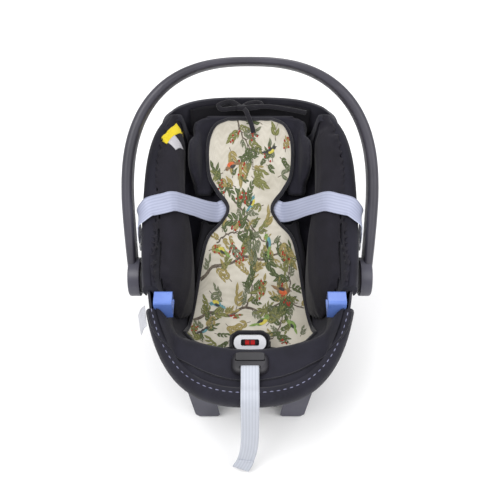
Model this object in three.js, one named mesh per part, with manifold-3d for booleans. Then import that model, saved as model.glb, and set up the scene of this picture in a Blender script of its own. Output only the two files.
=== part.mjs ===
// An infant car seat: a rocking plastic shell with a padded cover, a sliding headrest, a five-point
// harness and a swivelling carry handle. It stands on its two rockers.
// Millimetres. +X is to the right seen from the foot end, +Y runs to the head end, +Z is up.
// The origin is on the floor under the middle of the seat. Left and right are seen from the foot end.

import * as THREE from 'three';
import { mergeVertices } from 'three/addons/utils/BufferGeometryUtils.js';
import Module from 'manifold-3d';

const wasm = await Module();
wasm.setup();

// ---- Driving dimensions ----

// Rim outline of the padded seat, seen from above.
const RIM_HALF_WIDTH = 187;
const RIM_MID_Y = 60;
const FOOT_REACH = 341;
const HEAD_REACH = 222;
const FOOT_SQUARENESS = 2.6;
const HEAD_SQUARENESS = 3.2;
const RIM_FOOT_Z = 213;
const RIM_HEAD_Z = 358;
const COVER_HEAD_Y = 241;

// The shell under the rim.
const SHELL_INSET = 9;
const SHELL_DROP = 16;
const SHELL_WALL = 4;
const KEEL_Z = 42;
const KEEL_FOOT_Y = -60;
const KEEL_HEAD_Y = 20;
const HULL_SIDE_POWER = 4.2;
const HULL_END_POWER = 1.6;

// The lying surface: a flat pan, a front wall up to the foot shelf, and a sloping back.
const PAN_Z = 97;
const SHELF_Z = 203;
const WALL_START_Y = -112;
const WALL_END_Y = -186;
const BITE_Y = -50;
const BACK_ANGLE = THREE.MathUtils.degToRad(41.7);

// The carry handle and its pivots.
const PIVOT_Y = -28;
const PIVOT_Z = 205;
const HANDLE_TILT = THREE.MathUtils.degToRad(41);
const ARCH_CENTRE = 140;
const ARCH_OUTER_RISE = 236;
const ARCH_INNER_RISE = 223;
const ARCH_OUTER_HALF = 221;
const ARCH_INNER_HALF = 203;
const ARCH_SQUARENESS = 2.5;
const BAR_DEPTH = 46;
const HUB_RADIUS = 34;
const HUB_OUTER_X = 211;
const HUB_INNER_X = 190.5;
const BOSS_FACE_X = 187;
const PIN_RADIUS = 5;

// Moves the drawing so that the origin is under the middle of the whole seat's box.
const MIDDLE_SHIFT = 8;

// Gap left between pieces that touch.
const GAP = 0.4;

// ---- Looks ----

const LOOKS = {
  shell: { color: 0x4b4a54, roughness: 0.55, metalness: 0 },
  rocker: { color: 0x63616e, roughness: 0.5, metalness: 0 },
  handle: { color: 0x4b4956, roughness: 0.5, metalness: 0 },
  hub: { color: 0x5a5866, roughness: 0.5, metalness: 0 },
  foam: { color: 0xe9e9e6, roughness: 0.9, metalness: 0 },
  cover: { color: 0x2b2a38, roughness: 0.95, metalness: 0 },
  insert: { color: 0x25242f, roughness: 0.95, metalness: 0 },
  liner: { color: 0xd8d2c4, roughness: 0.9, metalness: 0 },
  webbing: { color: 0xb9bcd2, roughness: 0.6, metalness: 0 },
  ribbon: { color: 0x1c1a24, roughness: 0.8, metalness: 0 },
  guide: { color: 0x6f8fd6, roughness: 0.45, metalness: 0 },
  bezel: { color: 0x4e4b54, roughness: 0.5, metalness: 0 },
  white: { color: 0xd8d9dd, roughness: 0.35, metalness: 0 },
  red: { color: 0xb01515, roughness: 0.35, metalness: 0 },
  black: { color: 0x17161b, roughness: 0.5, metalness: 0 },
  tag: { color: 0xdcdce2, roughness: 0.7, metalness: 0 },
  label: { color: 0xe8d926, roughness: 0.7, metalness: 0 },
  steel: { color: 0xa9abb0, roughness: 0.35, metalness: 1 },
};

const seat = new THREE.Group();

// ---- Helpers: numbers ----

const clamp01 = (value) => Math.min(1, Math.max(0, value));

function smooth(start, end, value) {
  const k = clamp01((value - start) / (end - start));
  return k * k * (3 - 2 * k);
}

const mix = (a, b, share) => a + (b - a) * share;

function softMax(a, b, blend) {
  const near = Math.max(blend - Math.abs(a - b), 0) / blend;
  return Math.max(a, b) + (near * near * blend) / 4;
}

// ---- Helpers: solids ----

// Adds a named piece to the seat.
function add(name, geometry, look) {
  const mesh = new THREE.Mesh(geometry, new THREE.MeshStandardMaterial(LOOKS[look]));
  mesh.name = name;
  seat.add(mesh);
  return mesh;
}

// A closed geometry from points and triangles, turned so that its faces point out.
function closedGeometry(points, triangles) {
  let volume = 0;
  for (let i = 0; i < triangles.length; i += 3) {
    const [a, b, c] = [points[triangles[i]], points[triangles[i + 1]], points[triangles[i + 2]]];
    volume += a.dot(new THREE.Vector3().crossVectors(b, c));
  }
  const index = [];
  for (let i = 0; i < triangles.length; i += 3) {
    const [a, b, c] = triangles.slice(i, i + 3);
    index.push(...(volume > 0 ? [a, b, c] : [a, c, b]));
  }
  const geometry = new THREE.BufferGeometry().setFromPoints(points);
  geometry.setIndex(index);
  geometry.computeVertexNormals();
  return geometry;
}

// Joins rings of points into one solid. The two end rings are closed by a fan, or meet each other.
// From the band turnFrom on, the rings run back inwards, and the facets are split the other way,
// so that layers laid over each other have matching facets.
function loft(rings, { joined = false, turnFrom = Infinity } = {}) {
  const count = rings[0].length;
  const points = rings.flat();
  const triangles = [];
  const bands = joined ? rings.length : rings.length - 1;
  for (let band = 0; band < bands; band += 1) {
    const lower = band * count;
    const upper = ((band + 1) % rings.length) * count;
    for (let i = 0; i < count; i += 1) {
      const next = (i + 1) % count;
      if (band < turnFrom) {
        triangles.push(lower + i, lower + next, upper + next, lower + i, upper + next, upper + i);
      } else {
        triangles.push(lower + i, lower + next, upper + i, lower + next, upper + next, upper + i);
      }
    }
  }
  if (!joined) {
    for (const end of [0, rings.length - 1]) {
      const middle = new THREE.Vector3();
      rings[end].forEach((point) => middle.addScaledVector(point, 1 / count));
      const centre = points.push(middle) - 1;
      for (let i = 0; i < count; i += 1) {
        const [a, b] = [end * count + i, end * count + ((i + 1) % count)];
        triangles.push(...(end === 0 ? [centre, b, a] : [centre, a, b]));
      }
    }
  }
  return closedGeometry(points, triangles);
}

// A padded sheet: top and bottom are functions of u (across) and v (along), both from 0 to 1.
// The facets of the bottom are split like those of the top, so that a thin sheet stays whole where it twists.
function padSolid(top, bottom, across, along) {
  const rings = [];
  for (let j = 0; j <= along; j += 1) {
    const v = j / along;
    const ring = [];
    for (let i = 0; i <= across; i += 1) ring.push(top(i / across, v));
    for (let i = across; i >= 0; i -= 1) ring.push(bottom(i / across, v));
    rings.push(ring);
  }
  const count = 2 * (across + 1);
  const points = rings.flat();
  const triangles = [];
  for (let j = 0; j < along; j += 1) {
    for (let i = 0; i < count; i += 1) {
      const next = (i + 1) % count;
      const [a, b] = [j * count + i, j * count + next];
      if (i <= across) triangles.push(a, b, b + count, a, b + count, a + count);
      else triangles.push(a, b, a + count, b, b + count, a + count);
    }
  }
  for (let i = 0; i < across; i += 1) {
    const mate = count - 1 - i;
    triangles.push(i, mate, mate - 1, i, mate - 1, i + 1);
    const last = along * count;
    triangles.push(last + i, last + mate - 1, last + mate, last + i, last + i + 1, last + mate - 1);
  }
  return closedGeometry(points, triangles);
}

function toManifold(geometry) {
  const bare = geometry.clone();
  bare.deleteAttribute('normal');
  bare.deleteAttribute('uv');
  const merged = mergeVertices(bare, 1e-4);
  return new wasm.Manifold(
    new wasm.Mesh({
      numProp: 3,
      vertProperties: new Float32Array(merged.attributes.position.array),
      triVerts: new Uint32Array(merged.index.array),
    }),
  );
}

function fromManifold(manifold) {
  const mesh = manifold.getMesh();
  const geometry = new THREE.BufferGeometry();
  geometry.setAttribute('position', new THREE.BufferAttribute(new Float32Array(mesh.vertProperties), 3));
  geometry.setIndex(new THREE.BufferAttribute(new Uint32Array(mesh.triVerts), 1));
  geometry.computeVertexNormals();
  return geometry;
}

const join = (first, ...others) =>
  fromManifold(others.reduce((sum, other) => sum.add(toManifold(other)), toManifold(first)));

const cut = (first, ...others) =>
  fromManifold(others.reduce((rest, other) => rest.subtract(toManifold(other)), toManifold(first)));

const downwards = new THREE.Vector3(0, 0, -1);

// Height of the highest of the given pieces at a place, or a floor value where there is none.
function topOf(pieces, x, y, floor) {
  const ray = new THREE.Raycaster(new THREE.Vector3(x, y, 1000), downwards);
  const hits = ray.intersectObjects(pieces.map((name) => seat.getObjectByName(name)));
  return hits.length > 0 ? Math.max(hits[0].point.z, floor) : floor;
}

// A box given by its lowest and highest corners.
function block(low, high) {
  const size = low.map((value, axis) => high[axis] - value);
  const middle = low.map((value, axis) => (high[axis] + value) / 2);
  return new THREE.BoxGeometry(...size).translate(...middle);
}

// A round bar along X, from one x to the other, at the handle's pivot height.
function pivotDisc(radius, xStart, xEnd, sides = 20) {
  const disc = new THREE.CylinderGeometry(radius, radius, Math.abs(xEnd - xStart), sides);
  disc.rotateZ(Math.PI / 2);
  return disc.translate((xStart + xEnd) / 2, PIVOT_Y, PIVOT_Z);
}

// A rectangle with round corners, drawn about its middle.
function roundedRectangle(width, height, radius) {
  const shape = new THREE.Shape();
  const [w, h] = [width / 2, height / 2];
  shape.moveTo(-w + radius, -h);
  shape.lineTo(w - radius, -h);
  shape.absarc(w - radius, -h + radius, radius, -Math.PI / 2, 0);
  shape.lineTo(w, h - radius);
  shape.absarc(w - radius, h - radius, radius, 0, Math.PI / 2);
  shape.lineTo(-w + radius, h);
  shape.absarc(-w + radius, h - radius, radius, Math.PI / 2, Math.PI);
  shape.lineTo(-w, -h + radius);
  shape.absarc(-w + radius, -h + radius, radius, Math.PI, Math.PI * 1.5);
  return shape;
}

function extrude(shape, depth, curveSegments = 3) {
  return new THREE.ExtrudeGeometry(shape, { depth, bevelEnabled: false, curveSegments });
}

// ---- The seat's own surfaces ----

// Height of the padded rim above the floor, along the seat.
function rimHeight(y) {
  const footEnd = RIM_MID_Y - FOOT_REACH;
  const headEnd = RIM_MID_Y + HEAD_REACH;
  return mix(RIM_FOOT_Z, RIM_HEAD_Z, smooth(footEnd, headEnd, y));
}

// A point of the rim outline in the direction of an angle, moved inwards by inset.
function rimPoint(angle, inset = 0) {
  const c = Math.cos(angle);
  const s = Math.sin(angle);
  const reach = s < 0 ? FOOT_REACH : HEAD_REACH;
  const power = s < 0 ? FOOT_SQUARENESS : HEAD_SQUARENESS;
  const sum = Math.abs(c / RIM_HALF_WIDTH) ** power + Math.abs(s / reach) ** power;
  const radius = sum ** (-1 / power) - inset;
  return new THREE.Vector3(radius * c, RIM_MID_Y + radius * s, 0);
}

// Half the rim's width at a place along the seat.
function rimHalfWidth(y) {
  const off = y - RIM_MID_Y;
  const reach = off < 0 ? FOOT_REACH : HEAD_REACH;
  const power = off < 0 ? FOOT_SQUARENESS : HEAD_SQUARENESS;
  return RIM_HALF_WIDTH * Math.max(0, 1 - Math.abs(off / reach) ** power) ** (1 / power);
}

// The lying surface at depth t below the liner's top, where t is measured square to the back.
function layerMiddle(x, y, t) {
  const dish = 13 * (x / 110) ** 2;
  const pan = PAN_Z + 0.6 * t;
  const setBack = 28 * (x / 120) ** 2;
  const wall = smooth(WALL_START_Y + setBack, WALL_END_Y + setBack, y);
  const front = mix(pan, SHELF_Z, wall);
  const back = PAN_Z - 2 + t / Math.cos(BACK_ANGLE) + Math.tan(BACK_ANGLE) * (y - BITE_Y);
  return softMax(front, back, 14) + dish * (1 - wall) * (1 - smooth(-60, 10, y));
}

// Half the width of the flat part of the bed, inside the side walls.
function bedHalfWidth(y) {
  return 118 - 14 * smooth(-60, 0, y) + 18 * smooth(20, 110, y);
}

// The bed of the seat with its side walls: t is the depth, out moves the walls out, drop lowers the rim.
function bedHeight(x, y, { t, out, drop }) {
  const middle = layerMiddle(x, y, t);
  const edge = rimHalfWidth(y);
  const level = mix(SHELF_Z, rimHeight(y), smooth(0, 1, Math.abs(x) / Math.max(edge, 1)));
  const top = mix(level, rimHeight(y), smooth(-200, -120, y)) + drop;
  const start = bedHalfWidth(y) + out;
  const side = smooth(start, Math.max(edge - 18, start + 20) + out, Math.abs(x));
  const corner = smooth(206 + out, 222 + out, y) * smooth(117 + out, 128 + out, Math.abs(x));
  const shelf = smooth(-150, -185, y) * drop;
  return Math.max(mix(middle + shelf, top, Math.max(side, corner)), middle + shelf);
}

const BED = { t: -36, out: 0, drop: 0 };
const COVER_UNDER = { t: -44, out: 6, drop: -12 };
const FOAM_TOP = { t: -46.5, out: 8, drop: -15 };
const FOAM_UNDER = { t: -55, out: 8, drop: -34 };

// The rim's own edge at the head end.
function headEdgeY(x) {
  const share = Math.abs(x / RIM_HALF_WIDTH) ** HEAD_SQUARENESS;
  return RIM_MID_Y + HEAD_REACH * (1 - share) ** (1 / HEAD_SQUARENESS);
}

// A point measured from the bite along the back: across, up the slope, and out of the back.
function backPoint(x, s, t) {
  const c = Math.cos(BACK_ANGLE);
  const sn = Math.sin(BACK_ANGLE);
  return new THREE.Vector3(x, BITE_Y + s * c - t * sn, PAN_Z - 2 + s * sn + t * c);
}

// Angles round the rim, the same on the left and the right.
function rimAngles(count) {
  return Array.from({ length: count }, (_, i) => ((i + 0.5) / count) * Math.PI * 2);
}

// ---- Shell ----

// The shell's rim: low under the padded rim, and full height round the open head end.
function shellRim(angle, inset) {
  const outline = rimPoint(angle);
  const open = smooth(COVER_HEAD_Y + 9, COVER_HEAD_Y + 17, outline.y);
  const point = rimPoint(angle, mix(SHELL_INSET, 1, open) + inset);
  point.z = mix(rimHeight(outline.y) - SHELL_DROP, rimHeight(outline.y) - 1, open);
  return point;
}

// A point of the hull: rise runs from 0 at the keel to a quarter turn at the rim.
function hullPoint(angle, rise, inset) {
  const rim = shellRim(angle, inset);
  const s = Math.sin(angle);
  const keelY = mix(KEEL_FOOT_Y, KEEL_HEAD_Y, (s + 1) / 2);
  const power = mix(HULL_SIDE_POWER, HULL_END_POWER, smooth(0.6, 0.94, Math.abs(s)));
  const along = Math.sin(rise) ** (2 / power);
  const up = 1 - Math.cos(rise) ** (2 / power);
  return new THREE.Vector3(
    rim.x * along,
    mix(keelY, rim.y, along),
    mix(KEEL_Z + inset, rim.z, up),
  );
}

const HULL_RISES = [0.22, 0.42, 0.6, 0.76, 0.92, 1.08, 1.24, 1.4, Math.PI / 2];
const HULL_SIDES = 36;

function hullRing(rise, inset) {
  return rimAngles(HULL_SIDES).map((angle) => hullPoint(angle, rise, inset));
}

// The hull as one full solid, used to fit what stands against it.
function hullBody(grow) {
  return loft(HULL_RISES.map((rise) => hullRing(rise, -grow)));
}

function makeShell() {
  const outside = HULL_RISES.map((rise) => hullRing(rise, 0));
  const inside = HULL_RISES.map((rise) => hullRing(rise, SHELL_WALL)).reverse();
  let shell = loft([...outside, ...inside]);
  const cavity = loft(HULL_RISES.map((rise) => hullRing(rise, SHELL_WALL)));
  for (const side of [-1, 1]) {
    const boss = cut(pivotDisc(31, side * 150, side * BOSS_FACE_X), cavity);
    shell = join(shell, boss);
    shell = cut(shell, pivotDisc(PIN_RADIUS + GAP, side * 140, side * 195, 16));
  }
  add('seat_shell', shell, 'shell');
}

// ---- Rockers ----

const ROCKER_PATH = [
  [76, -190, 44], [95, -120, 40], [104, -60, 34], [107, 0, 32], [105, 60, 32], [96, 115, 34], [80, 160, 38],
];
const ROCKER_SCREW_YS = [-110, 100];

function makeRockers() {
  const line = new THREE.CatmullRomCurve3(ROCKER_PATH.map((station) => new THREE.Vector3(...station)));
  const stations = line.getPoints(14);
  const hull = hullBody(GAP);
  for (const side of [-1, 1]) {
    const rings = stations.map(({ x, y, z: width }) => {
      const lift = 5 * smooth(130, 200, Math.abs(y + 4)) ** 1.5;
      const half = width / 2;
      return [
        [x - half + 5, lift],
        [x + half - 7, lift],
        [x + half, lift + 7],
        [x + half + 16, 135],
        [x - half + 14, 135],
        [x - half, lift + 5],
      ].map(([px, pz]) => new THREE.Vector3(side * px, y, pz));
    });
    let rocker = cut(loft(rings), hull);
    for (const y of ROCKER_SCREW_YS) {
      const x = side * rockerX(line, y);
      rocker = cut(rocker, uprightRod(x, y, 6, -1, 14), uprightRod(x, y, 3, 10, 140));
    }
    add(side < 0 ? 'rocker_left' : 'rocker_right', rocker, 'rocker');
    addRockerScrews(side, line);
  }
}

function rockerX(line, y) {
  const nearest = line.getPoints(200).reduce((a, b) => (Math.abs(a.y - y) < Math.abs(b.y - y) ? a : b));
  return nearest.x;
}

function uprightRod(x, y, radius, low, high, sides = 12) {
  const rod = new THREE.CylinderGeometry(radius, radius, high - low, sides);
  return rod.rotateX(Math.PI / 2).translate(x, y, (low + high) / 2);
}

function addRockerScrews(side, line) {
  ROCKER_SCREW_YS.forEach((y, row) => {
    const x = side * rockerX(line, y);
    const head = uprightRod(x, y, 5.2, 9.5, 13.6);
    const shank = uprightRod(x, y, 2.4, 12, 40);
    const socket = uprightRod(x, y, 2.2, 9, 11.5, 6);
    const name = `rocker_screw_${row === 0 ? 'foot' : 'head'}_${side < 0 ? 'left' : 'right'}`;
    add(name, cut(join(head, shank), socket), 'steel');
  });
}

// ---- Foam and cover ----

const BOWL_SIDES = 44;
const CORNER_CROWDING = 0.45;

// Angles round the bed. They stand closer together at the two head corners.
const BOWL_ANGLES = rimAngles(BOWL_SIDES).map((angle) =>
  angle < Math.PI ? angle + (CORNER_CROWDING * Math.sin(4 * angle)) / 4 : angle,
);

// Rings of a bed layer, from the middle outwards. A ring is a share of the rim outline.
function bedRings(shares, layer, headLimit) {
  return shares.map((share) =>
    BOWL_ANGLES.map((angle) => {
      const rim = rimPoint(angle);
      const y = RIM_MID_Y + share * (Math.min(rim.y, headLimit) - RIM_MID_Y);
      const point = new THREE.Vector3(share * rim.x, y, 0);
      point.z = bedHeight(point.x, point.y, layer);
      return point;
    }),
  );
}

const BED_SHARES = [0.1, 0.25, 0.38, 0.5, 0.6, 0.68, 0.76, 0.84, 0.91];

// The share of the low head edge, which the headrest slides over, in the height of the rim. Out widens it.
function headOpening(x, outlineY, out) {
  return smooth(226, COVER_HEAD_Y, outlineY) * (1 - smooth(112 + out, 128 + out, Math.abs(x)));
}

// The rolled edge of the cover: rings given by inset from the outline and drop below the rim.
function coverEdgeRing(inset, drop, out = 0) {
  return BOWL_ANGLES.map((angle) => {
    const point = rimPoint(angle, inset);
    const outlineY = Math.min(rimPoint(angle).y, COVER_HEAD_Y);
    point.y = Math.min(point.y, COVER_HEAD_Y - inset);
    const lip = mix(drop, drop > 1 ? 6 + 0.15 * drop : drop, smooth(226, COVER_HEAD_Y, outlineY));
    const headEdge = layerMiddle(point.x, point.y, BED.t) + 2;
    point.z = mix(rimHeight(outlineY), headEdge, headOpening(point.x, outlineY, out)) - lip;
    return point;
  });
}

const NOTCH = { x: [124, 200], y: [-125, -87], z: [211, 300] };

// The notch in both sides of the cover and the foam where the vehicle belt runs over the rim.
function beltNotch(side) {
  const [near, far] = NOTCH.x;
  const xs = side < 0 ? [-far, -near] : [near, far];
  return block([xs[0], NOTCH.y[0], NOTCH.z[0]], [xs[1], NOTCH.y[1], NOTCH.z[1]]);
}

function makeFoam() {
  const shares = BED_SHARES.slice(0, -1);
  const top = bedRings(shares, FOAM_TOP, COVER_HEAD_Y);
  const under = bedRings(shares, FOAM_UNDER, COVER_HEAD_Y).reverse();
  const bowl = loft([...top, ...under], { turnFrom: top.length });
  add('energy_foam', cut(bowl, beltNotch(-1), beltNotch(1), crotchSlot()), 'foam');
}

function makeCover() {
  const top = bedRings(BED_SHARES, BED, COVER_HEAD_Y);
  const edge = [
    coverEdgeRing(11, -1),
    coverEdgeRing(5, 1),
    coverEdgeRing(0.5, 8),
    coverEdgeRing(0, 16),
    coverEdgeRing(3, 26),
    coverEdgeRing(6.5, 26),
    coverEdgeRing(6.5, 12),
    coverEdgeRing(15.3, 11, 2.5),
    coverEdgeRing(18, 11, 8),
  ];
  const under = bedRings(BED_SHARES.slice(0, -1), COVER_UNDER, COVER_HEAD_Y).reverse();
  const bowl = loft([...top, ...edge, ...under], { turnFrom: top.length + edge.length });
  add('seat_cover', cut(bowl, beltNotch(-1), beltNotch(1), crotchSlot()), 'cover');
}

// The dark lining of the pocket between the cover's head edge and the shell's rim.
function makeHeadPocket() {
  const halfWidth = 108;
  const place = (u, v, drop) => {
    const x = mix(-halfWidth, halfWidth, u);
    const y = mix(COVER_HEAD_Y + 1.5, headEdgeY(x) - 12, v);
    const low = layerMiddle(x, COVER_HEAD_Y, BED.t) + 1;
    return new THREE.Vector3(x, y, mix(low, RIM_HEAD_Z - 8, v) - drop);
  };
  add('head_pocket_lining', padSolid((u, v) => place(u, v, 0), (u, v) => place(u, v, 4), 16, 2), 'insert');
}

// ---- Side wings, insert and liner ----

// The wings' inner edge at stations along the seat: [y, distance from the middle, height].
const WING_INNER_EDGE = [
  [-82, 127, 176], [-50, 114, 188], [-13, 107, 204], [43, 108, 246], [99, 120, 290], [150, 124, 320], [226, 122, 344],
];
const WING_BULGE = 11;
const WING_GAP = 6;

// The height of the wing's top and its distance from the middle, for u from its inner to its outer edge.
function wingTop(u, v, innerLine) {
  const inner = innerLine.getPoint(v);
  const outerX = rimHalfWidth(inner.y) - 9;
  const share = u ** 1.4;
  const ends = smooth(0, 0.12, v) * smooth(1, 0.94, v);
  const level = mix(inner.z, rimHeight(inner.y) + 3, share) + WING_BULGE * Math.sin(Math.PI * share);
  const rounding = mix(26, 15, ends) * (1 - smooth(0, 0.2, share)) + 8 * (1 - ends) + 5 * smooth(0.85, 1, share);
  return new THREE.Vector3(mix(inner.x, outerX, share), inner.y, level - rounding);
}

function makeWings() {
  const innerLine = new THREE.CatmullRomCurve3(
    WING_INNER_EDGE.map(([y, x, z]) => new THREE.Vector3(x, y, z)),
    false,
    'centripetal',
  );
  for (const side of [-1, 1]) {
    const place = (u, v, isTop) => {
      const point = wingTop(u, v, innerLine);
      const bed = bedHeight(point.x, point.y, BED);
      const floor = topOf(['seat_cover'], side * point.x, point.y, bed) + WING_GAP;
      point.z = isTop ? Math.max(point.z, floor + 3) : floor;
      point.x *= side;
      return point;
    };
    const pad = padSolid((u, v) => place(u, v, true), (u, v) => place(u, v, false), 8, 14);
    add(side < 0 ? 'wing_pad_left' : 'wing_pad_right', pad, 'cover');
  }
}

const INSERT_FOOT_Y = -100;
const INSERT_HEAD_Y = 94;
const INSERT_CORNER = 26;

function makeInsert() {
  const place = (u, v, isTop) => {
    const span = 2 * u - 1;
    const y = mix(INSERT_FOOT_Y + INSERT_CORNER * span * span, INSERT_HEAD_Y, v);
    const half = 103 - 12 * smooth(40, 94, y);
    const x = half * span;
    const roll = 14 * smooth(half - 11, half - 3, Math.abs(x)) * smooth(-10, 50, y);
    const floor = topOf(['seat_cover'], x, y, bedHeight(x, y, BED)) + 4.2;
    const z = isTop ? Math.max(layerMiddle(x, y, -10) + roll, floor + 3) : floor;
    return new THREE.Vector3(x, y, z);
  };
  const pad = padSolid((u, v) => place(u, v, true), (u, v) => place(u, v, false), 12, 12);
  add('body_insert', pad, 'insert');
}

// Half the liner's width at stations along the seat: [y, half width].
const LINER_OUTLINE = [
  [-104, 117], [-79, 115], [-20, 104], [46, 90], [74, 78], [94, 54], [113, 43],
  [134, 62], [156, 77], [188, 81], [212, 77], [229, 64], [237, 40],
];
const LINER_SAG = 16;
const LINER_THICKNESS = 5;

function makeLiner() {
  const outline = new THREE.CatmullRomCurve3(
    LINER_OUTLINE.map(([y, half]) => new THREE.Vector3(half, y, 0)),
    false,
    'centripetal',
  );
  const place = (u, v, thickness) => {
    const station = outline.getPoint(v);
    const span = 2 * u - 1;
    const y = station.y - LINER_SAG * (1 - span * span) * (1 - smooth(0, 0.2, v));
    const x = station.x * span;
    const under = Math.max(layerMiddle(x, y, -5), topOf(['body_insert', 'seat_cover'], x, y, 0) + 1.2);
    return new THREE.Vector3(x, y, under + thickness);
  };
  const sheet = padSolid((u, v) => place(u, v, LINER_THICKNESS), (u, v) => place(u, v, 0), 6, 24);
  const notch = extrude(roundedRectangle(64, 80, 10), 110).translate(0, -116, 60);
  add('liner', cut(sheet, notch), 'liner');
}

// ---- Headrest ----

const HEADREST_LOW = 238;
const HEADREST_HIGH = 392;
const HEADREST_MIDDLE_LOW = 274;

// Half the width of the headrest pad, up the slope.
function headrestHalf(s) {
  return 119 - 9 * smooth(300, 236, s) - 7.5 * smooth(334, 352, s) - 36 * smooth(370, 400, s) ** 1.5;
}

// How far the side lobes stand out of the back.
function lobeHeight(s) {
  return 14 + 36 * smooth(236, 300, s) * (1 - smooth(322, 384, s));
}

function makeHeadrest() {
  const place = (u, v, isTop) => {
    const span = Math.abs(2 * u - 1);
    const low = mix(HEADREST_MIDDLE_LOW, HEADREST_LOW, smooth(0.55, 0.78, span));
    const s = mix(low, HEADREST_HIGH, v);
    const half = headrestHalf(s);
    const x = mix(-half, half, u);
    const lobe = smooth(93, 106, Math.abs(x)) * lobeHeight(s);
    const roundEdge = smooth(half, half - 12, Math.abs(x));
    const topSide = mix(-14, -10 + lobe, roundEdge);
    const backSide = mix(-26, -17, smooth(366, HEADREST_HIGH, s));
    return isTop ? backPoint(x, s, topSide) : backPoint(0.9 * x, s, backSide);
  };
  const pad = padSolid((u, v) => place(u, v, true), (u, v) => place(u, v, false), 22, 8);
  add('headrest_pad', pad, 'cover');
  const plate = extrude(roundedRectangle(170, 84, 18), 4);
  add('headrest_plate', onBack(plate, 316, -31.5), 'black');
  const lever = extrude(roundedRectangle(64, 9, 4), 4);
  add('headrest_lever', onBack(lever, 366, -31.5), 'black');
}

// Lays a shape drawn flat onto the back, its middle at s up the slope and its underside at t.
function onBack(geometry, s, t) {
  geometry.rotateX(BACK_ANGLE);
  const place = backPoint(0, s, t);
  return geometry.translate(place.x, place.y, place.z);
}

// ---- Handle ----

// A superellipse arch through its quarter points, in handle coordinates (x, up the arm).
function archPoints(half, rise, steps) {
  const points = [];
  for (let i = 0; i <= steps; i += 1) {
    const angle = (i / steps) * Math.PI;
    const c = Math.cos(angle);
    const s = Math.sin(angle);
    const sum = Math.abs(c / half) ** ARCH_SQUARENESS + (s / rise) ** ARCH_SQUARENESS;
    const radius = sum ** (-1 / ARCH_SQUARENESS);
    points.push([radius * c, ARCH_CENTRE + radius * s]);
  }
  return points;
}

// Section of the bar at each place along it: a flattened loop with soft corners.
function barRing(outer, inner) {
  const half = BAR_DEPTH / 2;
  const corners = [
    [0.0, half * 0.55], [0.12, half * 0.84], [0.5, half], [0.88, half * 0.9], [1, half * 0.62],
    [1, -half * 0.62], [0.88, -half * 0.9], [0.5, -half], [0.12, -half * 0.84], [0, -half * 0.55],
  ];
  return corners.map(([share, depth]) =>
    new THREE.Vector3(mix(outer[0], inner[0], share), mix(outer[1], inner[1], share), depth),
  );
}

// Moves a shape drawn in handle coordinates (x, up the arm, out of the arch) to the tilted handle.
function placeHandle(geometry) {
  geometry.rotateX(Math.PI / 2 - HANDLE_TILT);
  return geometry.translate(0, PIVOT_Y, PIVOT_Z);
}

function makeHandle() {
  const armSteps = 4;
  const outer = archPoints(ARCH_OUTER_HALF, ARCH_OUTER_RISE, 26);
  const inner = archPoints(ARCH_INNER_HALF, ARCH_INNER_RISE, 26);
  const rings = [];
  const arm = (side, step) => {
    const up = mix(ARCH_CENTRE, 4, step / armSteps);
    const outerX = side * mix(ARCH_OUTER_HALF, HUB_OUTER_X, (step / armSteps) ** 1.4);
    const innerX = side * mix(ARCH_INNER_HALF, HUB_INNER_X + 5, (step / armSteps) ** 1.2);
    return barRing([outerX, up], [innerX, up]);
  };
  for (let step = armSteps; step > 0; step -= 1) rings.push(arm(1, step));
  outer.forEach((point, i) => rings.push(barRing(point, inner[i])));
  for (let step = 1; step <= armSteps; step += 1) rings.push(arm(-1, step));
  let bar = placeHandle(loft(rings));
  for (const side of [-1, 1]) {
    bar = join(bar, pivotDisc(HUB_RADIUS, side * HUB_INNER_X, side * HUB_OUTER_X));
    bar = cut(
      bar,
      pivotDisc(27, side * (HUB_INNER_X - 2), side * 205),
      pivotDisc(13.6, side * 200, side * 214, 20),
    );
  }
  add('handle_bar', bar, 'handle');
}

const LOCK_TEETH = 10;

// A disc with teeth round it, along X.
function toothedDisc(rootRadius, tipRadius, xStart, xEnd) {
  const shape = new THREE.Shape();
  for (let i = 0; i < LOCK_TEETH * 4; i += 1) {
    const radius = i % 4 < 2 ? tipRadius : rootRadius;
    const angle = ((i + 0.5) / (LOCK_TEETH * 4)) * Math.PI * 2;
    const [y, z] = [radius * Math.cos(angle), radius * Math.sin(angle)];
    if (i === 0) shape.moveTo(y, z);
    else shape.lineTo(y, z);
  }
  const disc = extrude(shape, Math.abs(xEnd - xStart));
  disc.rotateY(Math.PI / 2);
  return disc.translate(Math.min(xStart, xEnd), PIVOT_Y, PIVOT_Z);
}

function makePivots() {
  for (const side of [-1, 1]) {
    const name = side < 0 ? 'left' : 'right';
    const ring = cut(
      pivotDisc(26.4, side * (BOSS_FACE_X + GAP), side * 193.4),
      toothedDisc(16.6, 19, side * 185, side * 196),
    );
    add(`lock_ring_${name}`, ring, 'black');
    const pin = join(
      pivotDisc(PIN_RADIUS, side * 166, side * 191.5, 16),
      pivotDisc(9, side * 160, side * 166.5, 16),
    );
    add(`pivot_pin_${name}`, pin, 'steel');
    const gear = cut(
      toothedDisc(13.5, 15.6, side * 194.2, side * 199.4),
      pivotDisc(PIN_RADIUS + 0.8, side * 190, side * 196.5, 16),
    );
    add(`lock_gear_${name}`, gear, 'black');
    const stem = pivotDisc(7, side * 199.8, side * 204, 16);
    const cap = pivotDisc(13, side * 203.8, side * 213.4, 20);
    add(`handle_button_${name}`, join(stem, cap), 'hub');
    add(`button_spring_${name}`, waveWasher(side), 'steel');
  }
}

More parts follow.
